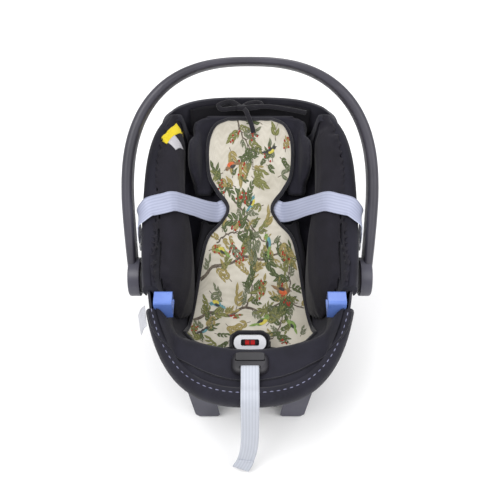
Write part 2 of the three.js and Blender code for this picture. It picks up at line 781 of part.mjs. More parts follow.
// The button's return spring: a wavy washer between the boss and the lock gear.
function waveWasher(side) {
  const rings = Array.from({ length: 24 }, (_, i) => {
    const angle = (i / 24) * Math.PI * 2;
    const x = BOSS_FACE_X + 1.5 + 0.5 * Math.sin(3 * angle);
    const [y, z] = [Math.cos(angle), Math.sin(angle)];
    return [[6.4, 0], [9, 0], [9, 0.6], [6.4, 0.6]].map(([radius, step]) =>
      new THREE.Vector3(side * (x + step), PIVOT_Y + radius * y, PIVOT_Z + radius * z),
    );
  });
  return loft(rings, { joined: true });
}

// ---- Vehicle belt guides ----

function makeBeltGuides() {
  for (const side of [-1, 1]) {
    const hook = new THREE.Shape();
    hook.moveTo(-123, 213);
    hook.lineTo(-90, 213);
    hook.lineTo(-90, 219);
    hook.lineTo(-115, 219);
    hook.lineTo(-115, 243);
    hook.lineTo(-102, 243);
    hook.lineTo(-102, 236);
    hook.absarc(-99, 236, 3, Math.PI, Math.PI * 2);
    hook.lineTo(-96, 246);
    hook.absarc(-101, 246, 5, 0, Math.PI / 2);
    hook.lineTo(-118, 251);
    hook.absarc(-118, 246, 5, Math.PI / 2, Math.PI);
    const guide = extrude(hook, 30);
    guide.rotateY(Math.PI / 2).rotateX(Math.PI / 2);
    guide.translate(side < 0 ? -158 : 128, 0, 0);
    add(side < 0 ? 'belt_guide_left' : 'belt_guide_right', guide, 'guide');
  }
}

// The hook at the back of the shell that holds the vehicle's shoulder belt, drawn as seen from the side.
const REAR_HOOK = [
  [234, 226], [258, 226], [265, 237], [279, 279], [278, 283], [273, 283], [257, 244], [234, 244],
];
const REAR_HOOK_WIDTH = 84;

function makeRearGuide() {
  const hook = new THREE.Shape(REAR_HOOK.map(([y, z]) => new THREE.Vector2(y, z)));
  const guide = extrude(hook, REAR_HOOK_WIDTH).rotateY(Math.PI / 2).rotateX(Math.PI / 2);
  guide.translate(-REAR_HOOK_WIDTH / 2, 0, 0);
  add('rear_belt_guide', cut(guide, hullBody(GAP)), 'guide');
}

// ---- Harness ----

const BUCKLE_MIDDLE = new THREE.Vector3(0, -140, 165);
const BUCKLE_TURN = THREE.MathUtils.degToRad(44);

// Places a shape drawn flat, its face up, onto the buckle's face.
function placeBuckle(geometry) {
  geometry.rotateX(BUCKLE_TURN);
  return geometry.translate(BUCKLE_MIDDLE.x, BUCKLE_MIDDLE.y, BUCKLE_MIDDLE.z);
}

function crotchSlot() {
  return block([-23, -112, 40], [23, -98, 130]);
}

function makeBuckle() {
  const body = cut(
    extrude(roundedRectangle(46, 20, 9), 36).translate(0, 0, -40),
    block([-15, -5.5, -14], [15, 5.5, 5]),
  );
  add('buckle_body', placeBuckle(body), 'black');
  const frame = cut(
    extrude(roundedRectangle(55, 25, 12), 7).translate(0, 0, -3.5),
    extrude(roundedRectangle(31, 11.5, 3), 12).translate(0, 0, -6),
  );
  add('buckle_frame', placeBuckle(frame), 'white');
  add('buckle_button', placeBuckle(extrude(roundedRectangle(26, 8, 2), 6).translate(0, 0, -8)), 'red');
}

// A flat band along a list of points. Its width runs along X, or along the axis given for each place.
function band(points, width, thickness, axisAt = () => new THREE.Vector3(1, 0, 0)) {
  const line = new THREE.CatmullRomCurve3(points, false, 'centripetal');
  const place = (u, v, side) => {
    const along = line.getTangent(v);
    const axis = axisAt(v);
    const across = axis.clone().addScaledVector(along, -axis.dot(along)).normalize();
    const out = new THREE.Vector3().crossVectors(along, across);
    return line.getPoint(v).addScaledVector(across, (u - 0.5) * width).addScaledVector(out, side * thickness);
  };
  return padSolid((u, v) => place(u, v, 0.5), (u, v) => place(u, v, -0.5), 1, points.length * 2);
}

const spot = (x, y, z) => new THREE.Vector3(x, y, z);

function makeCrotchStrap() {
  const path = [spot(0, -104, 62), spot(0, -104, 92), spot(0, -110, 118), spot(0, -113.5, 131)];
  add('crotch_strap', band(path, 36, 2), 'webbing');
  const pad = cut(
    extrude(roundedRectangle(60, 30, 13), 24).translate(0, 0, -30),
    extrude(roundedRectangle(48, 22, 9), 60).translate(0, 0, -50),
  );
  add('crotch_pad', placeBuckle(pad), 'insert');
}

function makeAdjuster() {
  const plate = new THREE.Shape();
  plate.moveTo(-40, -24);
  plate.lineTo(40, -24);
  plate.absarc(24, 8, 15, 0, Math.PI / 2);
  plate.absarc(-24, 8, 15, Math.PI / 2, Math.PI);
  const bezel = cut(
    extrude(plate, 9),
    block([-16.5, -17, -2], [16.5, -12, 12]),
    block([-24, -3, 2], [24, 13, 12]),
  );
  bezel.translate(0, -206, SHELF_Z + 1);
  add('adjuster_bezel', bezel, 'bezel');
  const button = extrude(roundedRectangle(46, 14, 3), 5).translate(0, -201, SHELF_Z + 6.5);
  add('adjuster_button', button, 'black');
}

function makeAdjusterStrap() {
  const path = [
    spot(0, -220.5, SHELF_Z + 5), spot(0, -221, SHELF_Z + 14), spot(0, -230, SHELF_Z + 15),
    spot(0, -248, 213), spot(0, -271, 216), spot(0, -284, 206), spot(0, -287, 180), spot(0, -287, 120),
    spot(-2, -288, 70), spot(-8, -290, 32), spot(-16, -295, 14),
  ];
  add('adjuster_strap', band(path, 29, 1.6), 'webbing');
}

const STRAP_SLOPE = 0.35;

function makeHarnessStraps() {
  for (const side of [-1, 1]) {
    const name = side < 0 ? 'left' : 'right';
    const crest = rimHeight(30) + 4;
    const pieces = [`wing_pad_${name}`, 'seat_cover'];
    const over = (x, y, z) => {
      const tops = [-17, 0, 17].map((dy) => topOf(pieces, side * x, y + dy, 0) - STRAP_SLOPE * dy + 7);
      return spot(side * x, y, Math.max(z, ...tops));
    };
    const path = [
      backPoint(side * 20, 213, -9), backPoint(side * 46, 212, -8.8), backPoint(side * 60, 207, -4),
      over(80, 94, 252), over(100, 84, 264), over(118, 74, 276), over(134, 65, 284), over(148, 56, 290),
      over(162, 48, 296), over(176, 40, crest), spot(side * 190, 30, crest - 6),
      spot(side * 192.5, 27, crest - 22), spot(side * 192.5, 22, crest - 48),
    ];
    const slope = (share) => mix(Math.tan(BACK_ANGLE), STRAP_SLOPE, smooth(0.12, 0.4, share));
    const strap = band(path, 37, 1.6, (share) => new THREE.Vector3(0, 1, slope(share)));
    add(`harness_strap_${name}`, strap, 'webbing');
    const tongue = extrude(roundedRectangle(30, 16, 4), 2.4);
    tongue.rotateX(Math.PI / 2).rotateZ(Math.PI / 2).translate(side * 192.5 - 1.2, 21, crest - 60);
    add(`harness_tongue_${name}`, tongue, 'white');
  }
}

// ---- Small soft pieces ----

function makeTie() {
  const z = 362;
  const start = spot(-16, 248, z);
  const knot = new THREE.SphereGeometry(7, 10, 8).translate(start.x, start.y, start.z);
  const across = () => new THREE.Vector3(0, 0.7, 0.7);
  const rightPath = [start, spot(30, 252, z), spot(70, 246, z - 2), spot(104, 238, z - 4)];
  const leftPath = [start, spot(-42, 260, z + 3), spot(-60, 252, z), spot(-50, 246, z - 3)];
  const frontPath = [start, spot(-6, 236, z - 1), spot(2, 220, z - 14), spot(6, 208, z - 26)];
  const right = band(rightPath, 7, 1.6, across);
  const left = band(leftPath, 7, 1.6, across);
  add('liner_tie', join(knot, right, left, band(frontPath, 9, 1.8)), 'ribbon');
}

function makeTags() {
  const [tagFootY, tagHeadY] = [-150, -110];
  const middleY = (tagFootY + tagHeadY) / 2;
  const edgeX = -rimHalfWidth(middleY);
  const slant = (rimHalfWidth(tagHeadY) - rimHalfWidth(tagFootY)) / (tagHeadY - tagFootY);
  const edgeZ = rimHeight(middleY) - 12;
  const tagPath = [
    spot(edgeX - 1.6, middleY, edgeZ),
    spot(edgeX - 8, middleY, edgeZ - 9),
    spot(edgeX - 14, middleY, edgeZ - 26),
  ];
  add('care_tag', band(tagPath, tagHeadY - tagFootY, 1, () => spot(-slant, 1, 0)), 'tag');
  const label = (u, v, lift) => {
    const x = -161 + 12 * u + 17 * v;
    const y = 172 - 7.5 * u + 28 * v;
    return spot(x, y, topOf(['wing_pad_left', 'seat_cover'], x, y, 0) + lift);
  };
  add('wing_label', padSolid((u, v) => label(u, v, 3), (u, v) => label(u, v, 1.6), 3, 4), 'label');
}

// ---- Assembly ----

makeShell();
makeRockers();
makeFoam();
makeCover();
makeHeadPocket();
makeWings();
makeInsert();
makeLiner();
makeHeadrest();
makeHandle();
makePivots();
makeBeltGuides();
makeRearGuide();
makeBuckle();
makeCrotchStrap();
makeAdjuster();
makeAdjusterStrap();
makeHarnessStraps();
makeTie();
makeTags();
seat.position.y = MIDDLE_SHIFT;

export default seat;
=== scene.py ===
"""Looks for an infant car seat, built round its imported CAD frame.

Sizes are in millimetres in the seat's drawing frame: +X to the right seen from the foot end, +Y to the
head end, +Z up. at() moves them to the row frame, in metres. Left and right are seen from the foot end.
"""

import math
import random

import bmesh
import bpy
import numpy as np
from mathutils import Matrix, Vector, noise
from mathutils.bvhtree import BVHTree


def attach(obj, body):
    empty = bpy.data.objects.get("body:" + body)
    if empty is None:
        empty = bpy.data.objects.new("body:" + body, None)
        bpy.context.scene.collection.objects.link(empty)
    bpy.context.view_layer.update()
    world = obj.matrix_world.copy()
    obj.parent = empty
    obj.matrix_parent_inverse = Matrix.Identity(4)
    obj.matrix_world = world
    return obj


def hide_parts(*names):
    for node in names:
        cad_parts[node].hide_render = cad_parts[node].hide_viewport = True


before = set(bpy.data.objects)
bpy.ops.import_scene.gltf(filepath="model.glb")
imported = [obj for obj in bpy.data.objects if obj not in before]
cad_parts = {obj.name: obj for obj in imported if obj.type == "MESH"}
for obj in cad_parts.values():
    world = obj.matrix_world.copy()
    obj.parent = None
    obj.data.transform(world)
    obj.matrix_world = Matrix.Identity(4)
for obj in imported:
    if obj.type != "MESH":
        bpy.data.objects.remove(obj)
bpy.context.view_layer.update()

# ---- Driving dimensions, the same as the CAD's ----

MIDDLE_SHIFT = 8
RIM_HALF_WIDTH = 187
RIM_MID_Y = 60
FOOT_REACH = 341
HEAD_REACH = 222
FOOT_SQUARENESS = 2.6
HEAD_SQUARENESS = 3.2
RIM_FOOT_Z = 213
RIM_HEAD_Z = 358
COVER_HEAD_Y = 241
SHELL_INSET = 9
SHELL_DROP = 16
SHELL_WALL = 4
KEEL_Z = 42
KEEL_FOOT_Y = -60
KEEL_HEAD_Y = 20
HULL_SIDE_POWER = 4.2
HULL_END_POWER = 1.6
PAN_Z = 97
SHELF_Z = 203
WALL_START_Y = -112
WALL_END_Y = -186
BITE_Y = -50
BACK_ANGLE = math.radians(41.7)
PIVOT_Y = -28
PIVOT_Z = 205
HANDLE_TILT = math.radians(41)
ARCH_CENTRE = 140
ARCH_OUTER_RISE = 236
ARCH_INNER_RISE = 223
ARCH_OUTER_HALF = 221
ARCH_INNER_HALF = 203
ARCH_SQUARENESS = 2.5
BAR_DEPTH = 46
HUB_RADIUS = 34
HUB_OUTER_X = 211
HUB_INNER_X = 190.5

# Layers of the bed: depth below the liner's top, how far the walls move out, how far the rim drops.
COVER_TOP = (-36, 0, 0)
COVER_UNDER = (-44, 6, -12)


def at(x, y, z):
    """A place in the drawing, in millimetres, as a point of the row frame, in metres."""
    return Vector((x, y + MIDDLE_SHIFT, z)) / 1000


# ---- Numbers ----


def clamp01(value):
    return min(1.0, max(0.0, value))


def smooth(start, end, value):
    k = clamp01((value - start) / (end - start))
    return k * k * (3 - 2 * k)


def mix(a, b, share):
    return a + (b - a) * share


def soft_max(a, b, blend):
    near = max(blend - abs(a - b), 0) / blend
    return max(a, b) + near * near * blend / 4


def catmull(points, share):
    """A point on the smooth curve through points, for share from 0 to 1."""
    spans = len(points) - 1
    place = clamp01(share) * spans
    i = min(int(place), spans - 1)
    k = place - i
    p1, p2 = points[i], points[i + 1]
    p0 = points[i - 1] if i > 0 else [2 * a - b for a, b in zip(p1, p2)]
    p3 = points[i + 2] if i + 2 <= spans else [2 * b - a for a, b in zip(p1, p2)]
    return [
        0.5 * (2 * b + (c - a) * k + (2 * a - 5 * b + 4 * c - d) * k * k + (3 * b - a - 3 * c + d) * k**3)
        for a, b, c, d in zip(p0, p1, p2, p3)
    ]


def stations(points, count):
    """count + 1 points evenly spaced in length along the smooth curve through points."""
    fine = np.array([catmull(points, i / (count * 8)) for i in range(count * 8 + 1)])
    length = np.concatenate([[0], np.cumsum(np.linalg.norm(np.diff(fine, axis=0), axis=1))])
    wanted = np.linspace(0, length[-1], count + 1)
    return [[float(np.interp(w, length, fine[:, axis])) for axis in range(fine.shape[1])] for w in wanted]


def direction(before, after):
    """The unit vector from one (x, y) place to another."""
    return Vector((after[0] - before[0], after[1] - before[1])).normalized()


def turned_left(flat):
    return Vector((-flat.y, flat.x))


def reach_from(start, reach, turn):
    """The (x, y) place at a distance and an angle from another."""
    return start[0] + reach * math.cos(turn), start[1] + reach * math.sin(turn)


# ---- The seat's own surfaces ----


def rim_height(y):
    return mix(RIM_FOOT_Z, RIM_HEAD_Z, smooth(RIM_MID_Y - FOOT_REACH, RIM_MID_Y + HEAD_REACH, y))


def rim_point(angle, inset=0):
    """A point of the rim outline seen from above, moved inwards by inset."""
    c, s = math.cos(angle), math.sin(angle)
    reach, power = (FOOT_REACH, FOOT_SQUARENESS) if s < 0 else (HEAD_REACH, HEAD_SQUARENESS)
    radius = (abs(c / RIM_HALF_WIDTH) ** power + abs(s / reach) ** power) ** (-1 / power) - inset
    return radius * c, RIM_MID_Y + radius * s


def rim_half_width(y):
    off = y - RIM_MID_Y
    reach, power = (FOOT_REACH, FOOT_SQUARENESS) if off < 0 else (HEAD_REACH, HEAD_SQUARENESS)
    return RIM_HALF_WIDTH * max(0.0, 1 - abs(off / reach) ** power) ** (1 / power)


def layer_middle(x, y, t):
    """Height of the lying surface at depth t, measured square to the back."""
    dish = 13 * (x / 110) ** 2
    set_back = 28 * (x / 120) ** 2
    wall = smooth(WALL_START_Y + set_back, WALL_END_Y + set_back, y)
    front = mix(PAN_Z + 0.6 * t, SHELF_Z, wall)
    back = PAN_Z - 2 + t / math.cos(BACK_ANGLE) + math.tan(BACK_ANGLE) * (y - BITE_Y)
    return soft_max(front, back, 14) + dish * (1 - wall) * (1 - smooth(-60, 10, y))


def bed_half_width(y):
    return 118 - 14 * smooth(-60, 0, y) + 18 * smooth(20, 110, y)


def bed_height(x, y, layer):
    """Height of the bed with its side walls."""
    t, out, drop = layer
    middle = layer_middle(x, y, t)
    edge = rim_half_width(y)
    level = mix(SHELF_Z, rim_height(y), smooth(0, 1, abs(x) / max(edge, 1)))
    top = mix(level, rim_height(y), smooth(-200, -120, y)) + drop
    start = bed_half_width(y) + out
    side = smooth(start, max(edge - 18, start + 20) + out, abs(x))
    corner = smooth(206 + out, 222 + out, y) * smooth(117 + out, 128 + out, abs(x))
    shelf = smooth(-150, -185, y) * drop
    return max(mix(middle + shelf, top, max(side, corner)), middle + shelf)


def head_opening(x, outline_y, out=0.0):
    """The share of the low head edge, which the headrest slides over, in the height of the rim."""
    return smooth(226, COVER_HEAD_Y, outline_y) * (1 - smooth(112 + out, 128 + out, abs(x)))


def head_edge_y(x):
    share = abs(x / RIM_HALF_WIDTH) ** HEAD_SQUARENESS
    return RIM_MID_Y + HEAD_REACH * (1 - share) ** (1 / HEAD_SQUARENESS)


def back_point(x, s, t):
    """A point measured from the bite along the back: across, up the slope, and out of the back."""
    c, sn = math.cos(BACK_ANGLE), math.sin(BACK_ANGLE)
    return x, BITE_Y + s * c - t * sn, PAN_Z - 2 + s * sn + t * c


def shell_rim(angle, inset):
    outline = rim_point(angle)
    is_open = smooth(COVER_HEAD_Y - 46, COVER_HEAD_Y - 4, outline[1])
    x, y = rim_point(angle, mix(SHELL_INSET, -1.5, is_open) + inset)
    return x, y, mix(rim_height(outline[1]) - SHELL_DROP, rim_height(outline[1]) - 1, is_open)


def hull_point(angle, rise, inset):
    """A point of the hull: rise runs from 0 at the keel to a quarter turn at the rim."""
    x, y, z = shell_rim(angle, inset)
    s = math.sin(angle)
    keel_y = mix(KEEL_FOOT_Y, KEEL_HEAD_Y, (s + 1) / 2)
    power = mix(HULL_SIDE_POWER, HULL_END_POWER, smooth(0.6, 0.94, abs(s)))
    along = math.sin(rise) ** (2 / power)
    up = 1 - math.cos(rise) ** (2 / power)
    return x * along, mix(keel_y, y, along), mix(KEEL_Z + inset, z, up)


# ---- Meshes ----


def finish_mesh(name, mesh, material, sharp_angle=None):
    """Links a mesh as an object, with its faces turned outwards and shaded smooth."""
    build = bmesh.new()
    build.from_mesh(mesh)
    bmesh.ops.recalc_face_normals(build, faces=build.faces)
    build.to_mesh(mesh)
    build.free()
    mesh.shade_smooth()
    if sharp_angle is not None:
        mesh.set_sharp_from_angle(angle=math.radians(sharp_angle))
    mesh.materials.append(material)
    obj = bpy.data.objects.new(name, mesh)
    bpy.context.scene.collection.objects.link(obj)
    return obj


def add_piece(name, points, faces, material, sharp_angle=None, uvs=None):
    """An object from points in the drawing frame. uvs gives each point a place across and along the cloth."""
    mesh = bpy.data.meshes.new(name)
    mesh.from_pydata([at(*point) for point in points], [], faces)
    if uvs is not None:
        layer = mesh.uv_layers.new(name="cloth")
        for loop in mesh.loops:
            layer.data[loop.index].uv = uvs[loop.vertex_index]
    return finish_mesh(name, mesh, material, sharp_angle)


def ring_faces(rings, count, joined=False, capped=True):
    faces = []
    for band in range(rings if joined else rings - 1):
        low, high = band * count, (band + 1) % rings * count
        for i in range(count):
            nxt = (i + 1) % count
            faces.append((low + i, low + nxt, high + nxt, high + i))
    if capped and not joined:
        faces.append(tuple(range(count - 1, -1, -1)))
        faces.append(tuple(range((rings - 1) * count, rings * count)))
    return faces


def loft(name, rings, material, joined=False, sharp_angle=None):
    """Joins closed rings of points into one skin."""
    points = [point for ring in rings for point in ring]
    return add_piece(name, points, ring_faces(len(rings), len(rings[0]), joined), material, sharp_angle)


def pad(name, place, across, along, material):
    """A closed padded sheet. place(u, v, is_top) gives its points, for u across and v along, from 0 to 1."""
    points = []
    for j in range(along + 1):
        v = j / along
        points += [place(i / across, v, True) for i in range(across + 1)]
        points += [place(i / across, v, False) for i in range(across, -1, -1)]
    count = 2 * (across + 1)
    last = along * count
    faces = ring_faces(along + 1, count, capped=False)
    for i in range(across):
        mate = count - 1 - i
        faces.append((i, mate, mate - 1, i + 1))
        faces.append((last + i, last + i + 1, last + mate - 1, last + mate))
    return add_piece(name, points, faces, material)


DROP_FROM_Z = 600


def surface_of(*objects):
    """The shown surface of some objects, for laying things on it."""
    bpy.context.view_layer.update()
    points, faces = [], []
    for obj in objects:
        shift = len(points)
        world = obj.matrix_world
        points += [world @ vertex.co for vertex in obj.data.vertices]
        faces += [[shift + i for i in polygon.vertices] for polygon in obj.data.polygons]
    return BVHTree.FromPolygons(points, faces)


def drop_on(surface, x, y, default=0.0):
    """Height in millimetres of a surface under a place, or default where there is none."""
    place, _, _, _ = surface.ray_cast(at(x, y, DROP_FROM_Z), Vector((0, 0, -1)))
    return default if place is None else place.z * 1000


def frames_along(path):
    """For each point of a path, the direction of travel there."""
    vectors = [Vector(point) for point in path]
    ends = [vectors[0]] + vectors + [vectors[-1]]
    return [(after - before).normalized() for before, after in zip(ends, ends[2:])]


def tube(name, path, radius, material, sides, flat=1.0, up=(0, 0, 1)):
    """A round or flattened cord along a path, with closed ends."""
    rings = []
    for point, travel in zip(path, frames_along(path)):
        out = Vector(up) - travel * travel.dot(Vector(up))
        out.normalize()
        across = travel.cross(out)
        ring = []
        for i in range(sides):
            angle = 2 * math.pi * i / sides
            place = Vector(point) + across * radius * math.cos(angle) + out * radius * flat * math.sin(angle)
            ring.append(tuple(place))
        rings.append(ring)
    return loft(name, rings, material)


def ribbon(name, path, axes, width, thickness, material, across):
    """Flat webbing along a path. axes gives the direction of its width at each point."""
    rings, uvs = [], []
    travelled = 0.0
    previous = Vector(path[0])
    for point, travel, axis in zip(path, frames_along(path), axes):
        side = Vector(axis) - travel * travel.dot(Vector(axis))
        side.normalize()
        out = side.cross(travel)
        travelled += (Vector(point) - previous).length
        previous = Vector(point)
        ring = []
        for face, order in ((1, range(across + 1)), (-1, range(across, -1, -1))):
            for i in order:
                share = i / across
                edge = 0.35 if i in (0, across) else 1.0
                place = Vector(point) + side * width * (share - 0.5) + out * face * edge * thickness / 2
                ring.append(tuple(place))
                uvs.append((share, travelled / width))
        rings.append(ring)
    points = [point for ring in rings for point in ring]
    return add_piece(name, points, ring_faces(len(rings), len(rings[0])), material, uvs=uvs)


def lathe(name, profile, material, side, sides=64, sharp_angle=30, joined=False):
    """A round piece about the handle's pivot axis: profile lists (distance from the middle, radius)."""
    turns = [2 * math.pi * i / sides for i in range(sides)]
    rings = []
    for x, radius in profile:
        rings.append([(side * x, *reach_from((PIVOT_Y, PIVOT_Z), radius, turn)) for turn in turns])
    return loft(name, rings, material, joined, sharp_angle)


def join_pieces(first, *others):
    """Joins meshes into the first one, keeping their materials."""
    build = bmesh.new()
    materials = list(first.data.materials)
    for obj in (first, *others):
        slots = []
        for material in obj.data.materials:
            if material not in materials:
                materials.append(material)
            slots.append(materials.index(material))
        before = len(build.faces)
        build.from_mesh(obj.data)
        build.faces.ensure_lookup_table()
        for face in build.faces[before:]:
            face.material_index = slots[face.material_index]
    first.data.materials.clear()
    for material in materials:
        first.data.materials.append(material)
    build.to_mesh(first.data)
    build.free()
    for obj in others:
        bpy.data.objects.remove(obj)
    return first


def applied(obj):
    """Makes the result of an object's modifiers its own mesh."""
    bpy.context.view_layer.update()
    result = bpy.data.meshes.new_from_object(obj.evaluated_get(bpy.context.evaluated_depsgraph_get()))
    obj.modifiers.clear()
    obj.data = result


def place_piece(obj, body, slot, *nodes):
    """Makes a finished piece move with a body and stand for some CAD nodes."""
    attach(obj, body)
    if nodes:
        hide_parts(*nodes)


# ---- Cloth ----

PUFF_FRAMES = 20
PUFF_PRESSURE = 3.0


def puff(obj, voxel, cap):
    """Swells a closed pad as stuffed fabric, with a cloth simulation. cap limits each point's travel."""
    remesh = obj.modifiers.new("Remesh", "REMESH")
    remesh.mode = "VOXEL"
    remesh.voxel_size = voxel / 1000
    applied(obj)
    rest = [vertex.co.copy() for vertex in obj.data.vertices]
    cloth = obj.modifiers.new("Cloth", "CLOTH")
    cloth.settings.quality = 4
    cloth.settings.use_pressure = True
    cloth.settings.uniform_pressure_force = PUFF_PRESSURE
    cloth.settings.effector_weights.gravity = 0
    cloth.point_cache.frame_end = PUFF_FRAMES
    for number in range(1, PUFF_FRAMES + 1):
        bpy.context.scene.frame_set(number)
    applied(obj)
    bpy.context.scene.frame_set(1)
    for vertex, start in zip(obj.data.vertices, rest):
        travel = vertex.co - start
        if travel.length > cap / 1000:
            vertex.co = start + travel.normalized() * cap / 1000
    subdivision = obj.modifiers.new("Subdivision", "SUBSURF")
    subdivision.levels = 1
    applied(obj)
    obj.data.shade_smooth()


# ---- Materials ----


def srgb(red, green, blue):
    """A display colour, from 0 to 255, as the linear colour that nodes take."""
    linear = [((v / 255 + 0.055) / 1.055) ** 2.4 if v > 10 else v / 3294.6 for v in (red, green, blue)]
    return (*linear, 1.0)


class Look:
    """One material, with short calls for the nodes behind its shader."""

    def __init__(self, name, color, roughness, **sockets):
        self.material = bpy.data.materials.new(name)
        self.material.use_nodes = True
        self.tree = self.material.node_tree
        self.shader = self.tree.nodes["Principled BSDF"]
        self.shader.inputs["Base Color"].default_value = srgb(*color)
        self.shader.inputs["Roughness"].default_value = roughness
        for socket, value in sockets.items():
            self.shader.inputs[socket.replace("_", " ")].default_value = value

    def node(self, kind, **settings):
        made = self.tree.nodes.new("ShaderNode" + kind)
        for key, value in settings.items():
            setattr(made, key, value)
        return made

    def link(self, value, socket):
        """Joins a socket, or sets a plain value."""
        if isinstance(value, bpy.types.NodeSocket):
            self.tree.links.new(value, socket)
        else:
            socket.default_value = value

    def math(self, operation, a, b=0.0):
        made = self.node("Math", operation=operation)
        self.link(a, made.inputs[0])
        self.link(b, made.inputs[1])
        return made.outputs[0]

    def add(self, a, b):
        return self.math("ADD", a, b)

    def times(self, a, b):
        return self.math("MULTIPLY", a, b)

    def sine(self, value, period):
        return self.math("SINE", self.times(value, 2 * math.pi / period))

    def place(self):
        return self.node("TexCoord").outputs["Object"]

    def split(self, vector):
        parts = self.node("SeparateXYZ")
        self.link(vector, parts.inputs[0])
        return parts.outputs

    def noise(self, scale, detail=2.0):
        made = self.node("TexNoise")
        self.link(self.place(), made.inputs["Vector"])
        made.inputs["Scale"].default_value = scale
        made.inputs["Detail"].default_value = detail
        return made.outputs["Fac"]

    def cloth_uv(self):
        """Across and along the cloth, from the mesh's own cloth layer."""
        parts = self.split(self.node("UVMap", uv_map="cloth").outputs[0])
        return parts[0], parts[1]

    def waves(self, value, period):
        """A sine from 0 to 1 along a value."""
        return self.add(self.times(self.sine(value, period), 0.5), 0.5)

    def weave(self, period):
        """Crossing threads that read the same on a face turned any way. period is in metres."""
        parts = self.split(self.place())
        sines = [self.sine(parts[i], period) for i in range(3)]
        products = [self.times(sines[i], sines[(i + 1) % 3]) for i in range(3)]
        total = self.add(self.add(products[0], products[1]), products[2])
        return self.add(self.times(total, 0.3), 0.5)

    def ramp(self, factor, stops):
        made = self.node("ValToRGB")
        self.link(factor, made.inputs[0])
        elements = made.color_ramp.elements
        while len(elements) < len(stops):
            elements.new(0.5)
        for element, (position, color) in zip(elements, stops):
            element.position = position
            element.color = srgb(*color)
        return made.outputs[0]

    def blend(self, factor, first, second):
        made = self.node("Mix", data_type="RGBA")
        self.link(factor, made.inputs["Factor"])
        for value, index in ((first, 6), (second, 7)):
            self.link(srgb(*value) if isinstance(value, tuple) else value, made.inputs[index])
        return made.outputs[2]

    def color(self, socket):
        self.link(socket, self.shader.inputs["Base Color"])

    def rough(self, socket):
        self.link(socket, self.shader.inputs["Roughness"])

    def bump(self, height, strength, distance):
        made = self.node("Bump")
        made.inputs["Strength"].default_value = strength
        made.inputs["Distance"].default_value = distance
        self.link(height, made.inputs["Height"])
        self.link(made.outputs[0], self.shader.inputs["Normal"])


def cloth_look(name, dark, light, thread=0.0019, strength=0.5, roughness=0.88, sheen=0.25):
    """Woven fabric: threads, a slight mottle and a soft sheen."""
    look = Look(name, dark, roughness, Sheen_Weight=sheen, Sheen_Roughness=0.45, Specular_IOR_Level=0.3)
    threads = look.weave(thread)
    mottle = look.noise(32, 3.0)
    tone = look.add(look.times(mottle, 0.65), look.times(threads, 0.35))
    look.color(look.ramp(tone, [(0.3, dark), (0.7, light)]))
    fuzz = look.times(look.noise(900), 0.5)
    look.bump(look.add(threads, fuzz), strength, 0.0004)
    return look.material


def plastic_look(name, dark, light, roughness=0.45, grain=1500, strength=0.12):
    """Moulded plastic with a fine texture and faint wear in its gloss."""
    look = Look(name, dark, roughness)
    look.color(look.ramp(look.noise(14, 3.0), [(0.35, dark), (0.65, light)]))
    wear = look.noise(60, 4.0)
    look.rough(look.add(look.times(wear, 0.16), roughness - 0.08))
    look.bump(look.noise(grain), strength, 0.0003)
    return look.material


def release_look():
    """The buckle's release: red in the middle, black at both ends and in the bar that divides it."""
    look = Look("release_plastic", (168, 18, 20), 0.3)
    away = look.math("ABSOLUTE", look.split(look.place())[0])
    dark = look.add(look.math("GREATER_THAN", away, 0.0082), look.math("LESS_THAN", away, 0.0011))
    look.color(look.blend(dark, (176, 22, 22), (20, 19, 22)))
    look.bump(look.noise(1500), 0.12, 0.0003)
    return look.material


def webbing_look(name, dark, light, ribs):
    """Seat webbing: lengthwise ribs, close cross threads and plain edges, from the cloth layer."""
    look = Look(name, dark, 0.5, Sheen_Weight=0.2, Sheen_Roughness=0.4)
    across, along = look.cloth_uv()
    rib = look.waves(across, 1 / ribs)
    pick = look.waves(along, 0.05)
    tone = look.add(look.times(rib, 0.6), look.times(look.noise(40, 3.0), 0.4))
    look.color(look.ramp(tone, [(0.2, dark), (0.8, light)]))
    height = look.add(rib, look.times(pick, 0.45))
    look.bump(height, 0.22, 0.0005)
    return look.material


def liner_look():
    """The liner's cream cotton, with a faint weave and pale shading."""
    look = Look("liner_cotton", (226, 219, 202), 0.9, Sheen_Weight=0.15)
    threads = look.weave(0.0012)
    stain = look.noise(22, 4.0)
    tone = look.add(look.times(stain, 0.75), look.times(threads, 0.25))
    look.color(look.ramp(tone, [(0.28, (168, 162, 147)), (0.5, (190, 184, 171)), (0.72, (206, 201, 189))]))
    look.bump(look.add(threads, look.times(look.noise(240, 3.0), 0.8)), 0.3, 0.0004)
    return look.material


def printed_look(name, dark, light, vein=None):
    """Ink on the liner: uneven colour, and for a leaf a pale vein down its middle and ribs beside it."""
    look = Look(name, dark, 0.9)
    base = look.ramp(look.noise(260, 4.0), [(0.3, dark), (0.7, light)])
    if vein:
        across, along = look.cloth_uv()
        middle = look.math("LESS_THAN", look.math("ABSOLUTE", across), 0.09)
        slant = look.add(along, look.times(look.math("ABSOLUTE", across), -0.35))
        ribs = look.math("GREATER_THAN", look.waves(slant, 0.17), 0.86)
        lines = look.math("MAXIMUM", middle, look.times(ribs, 0.5))
        base = look.blend(lines, base, vein)
    look.color(base)
    look.bump(look.weave(0.0012), 0.25, 0.0003)
    return look.material


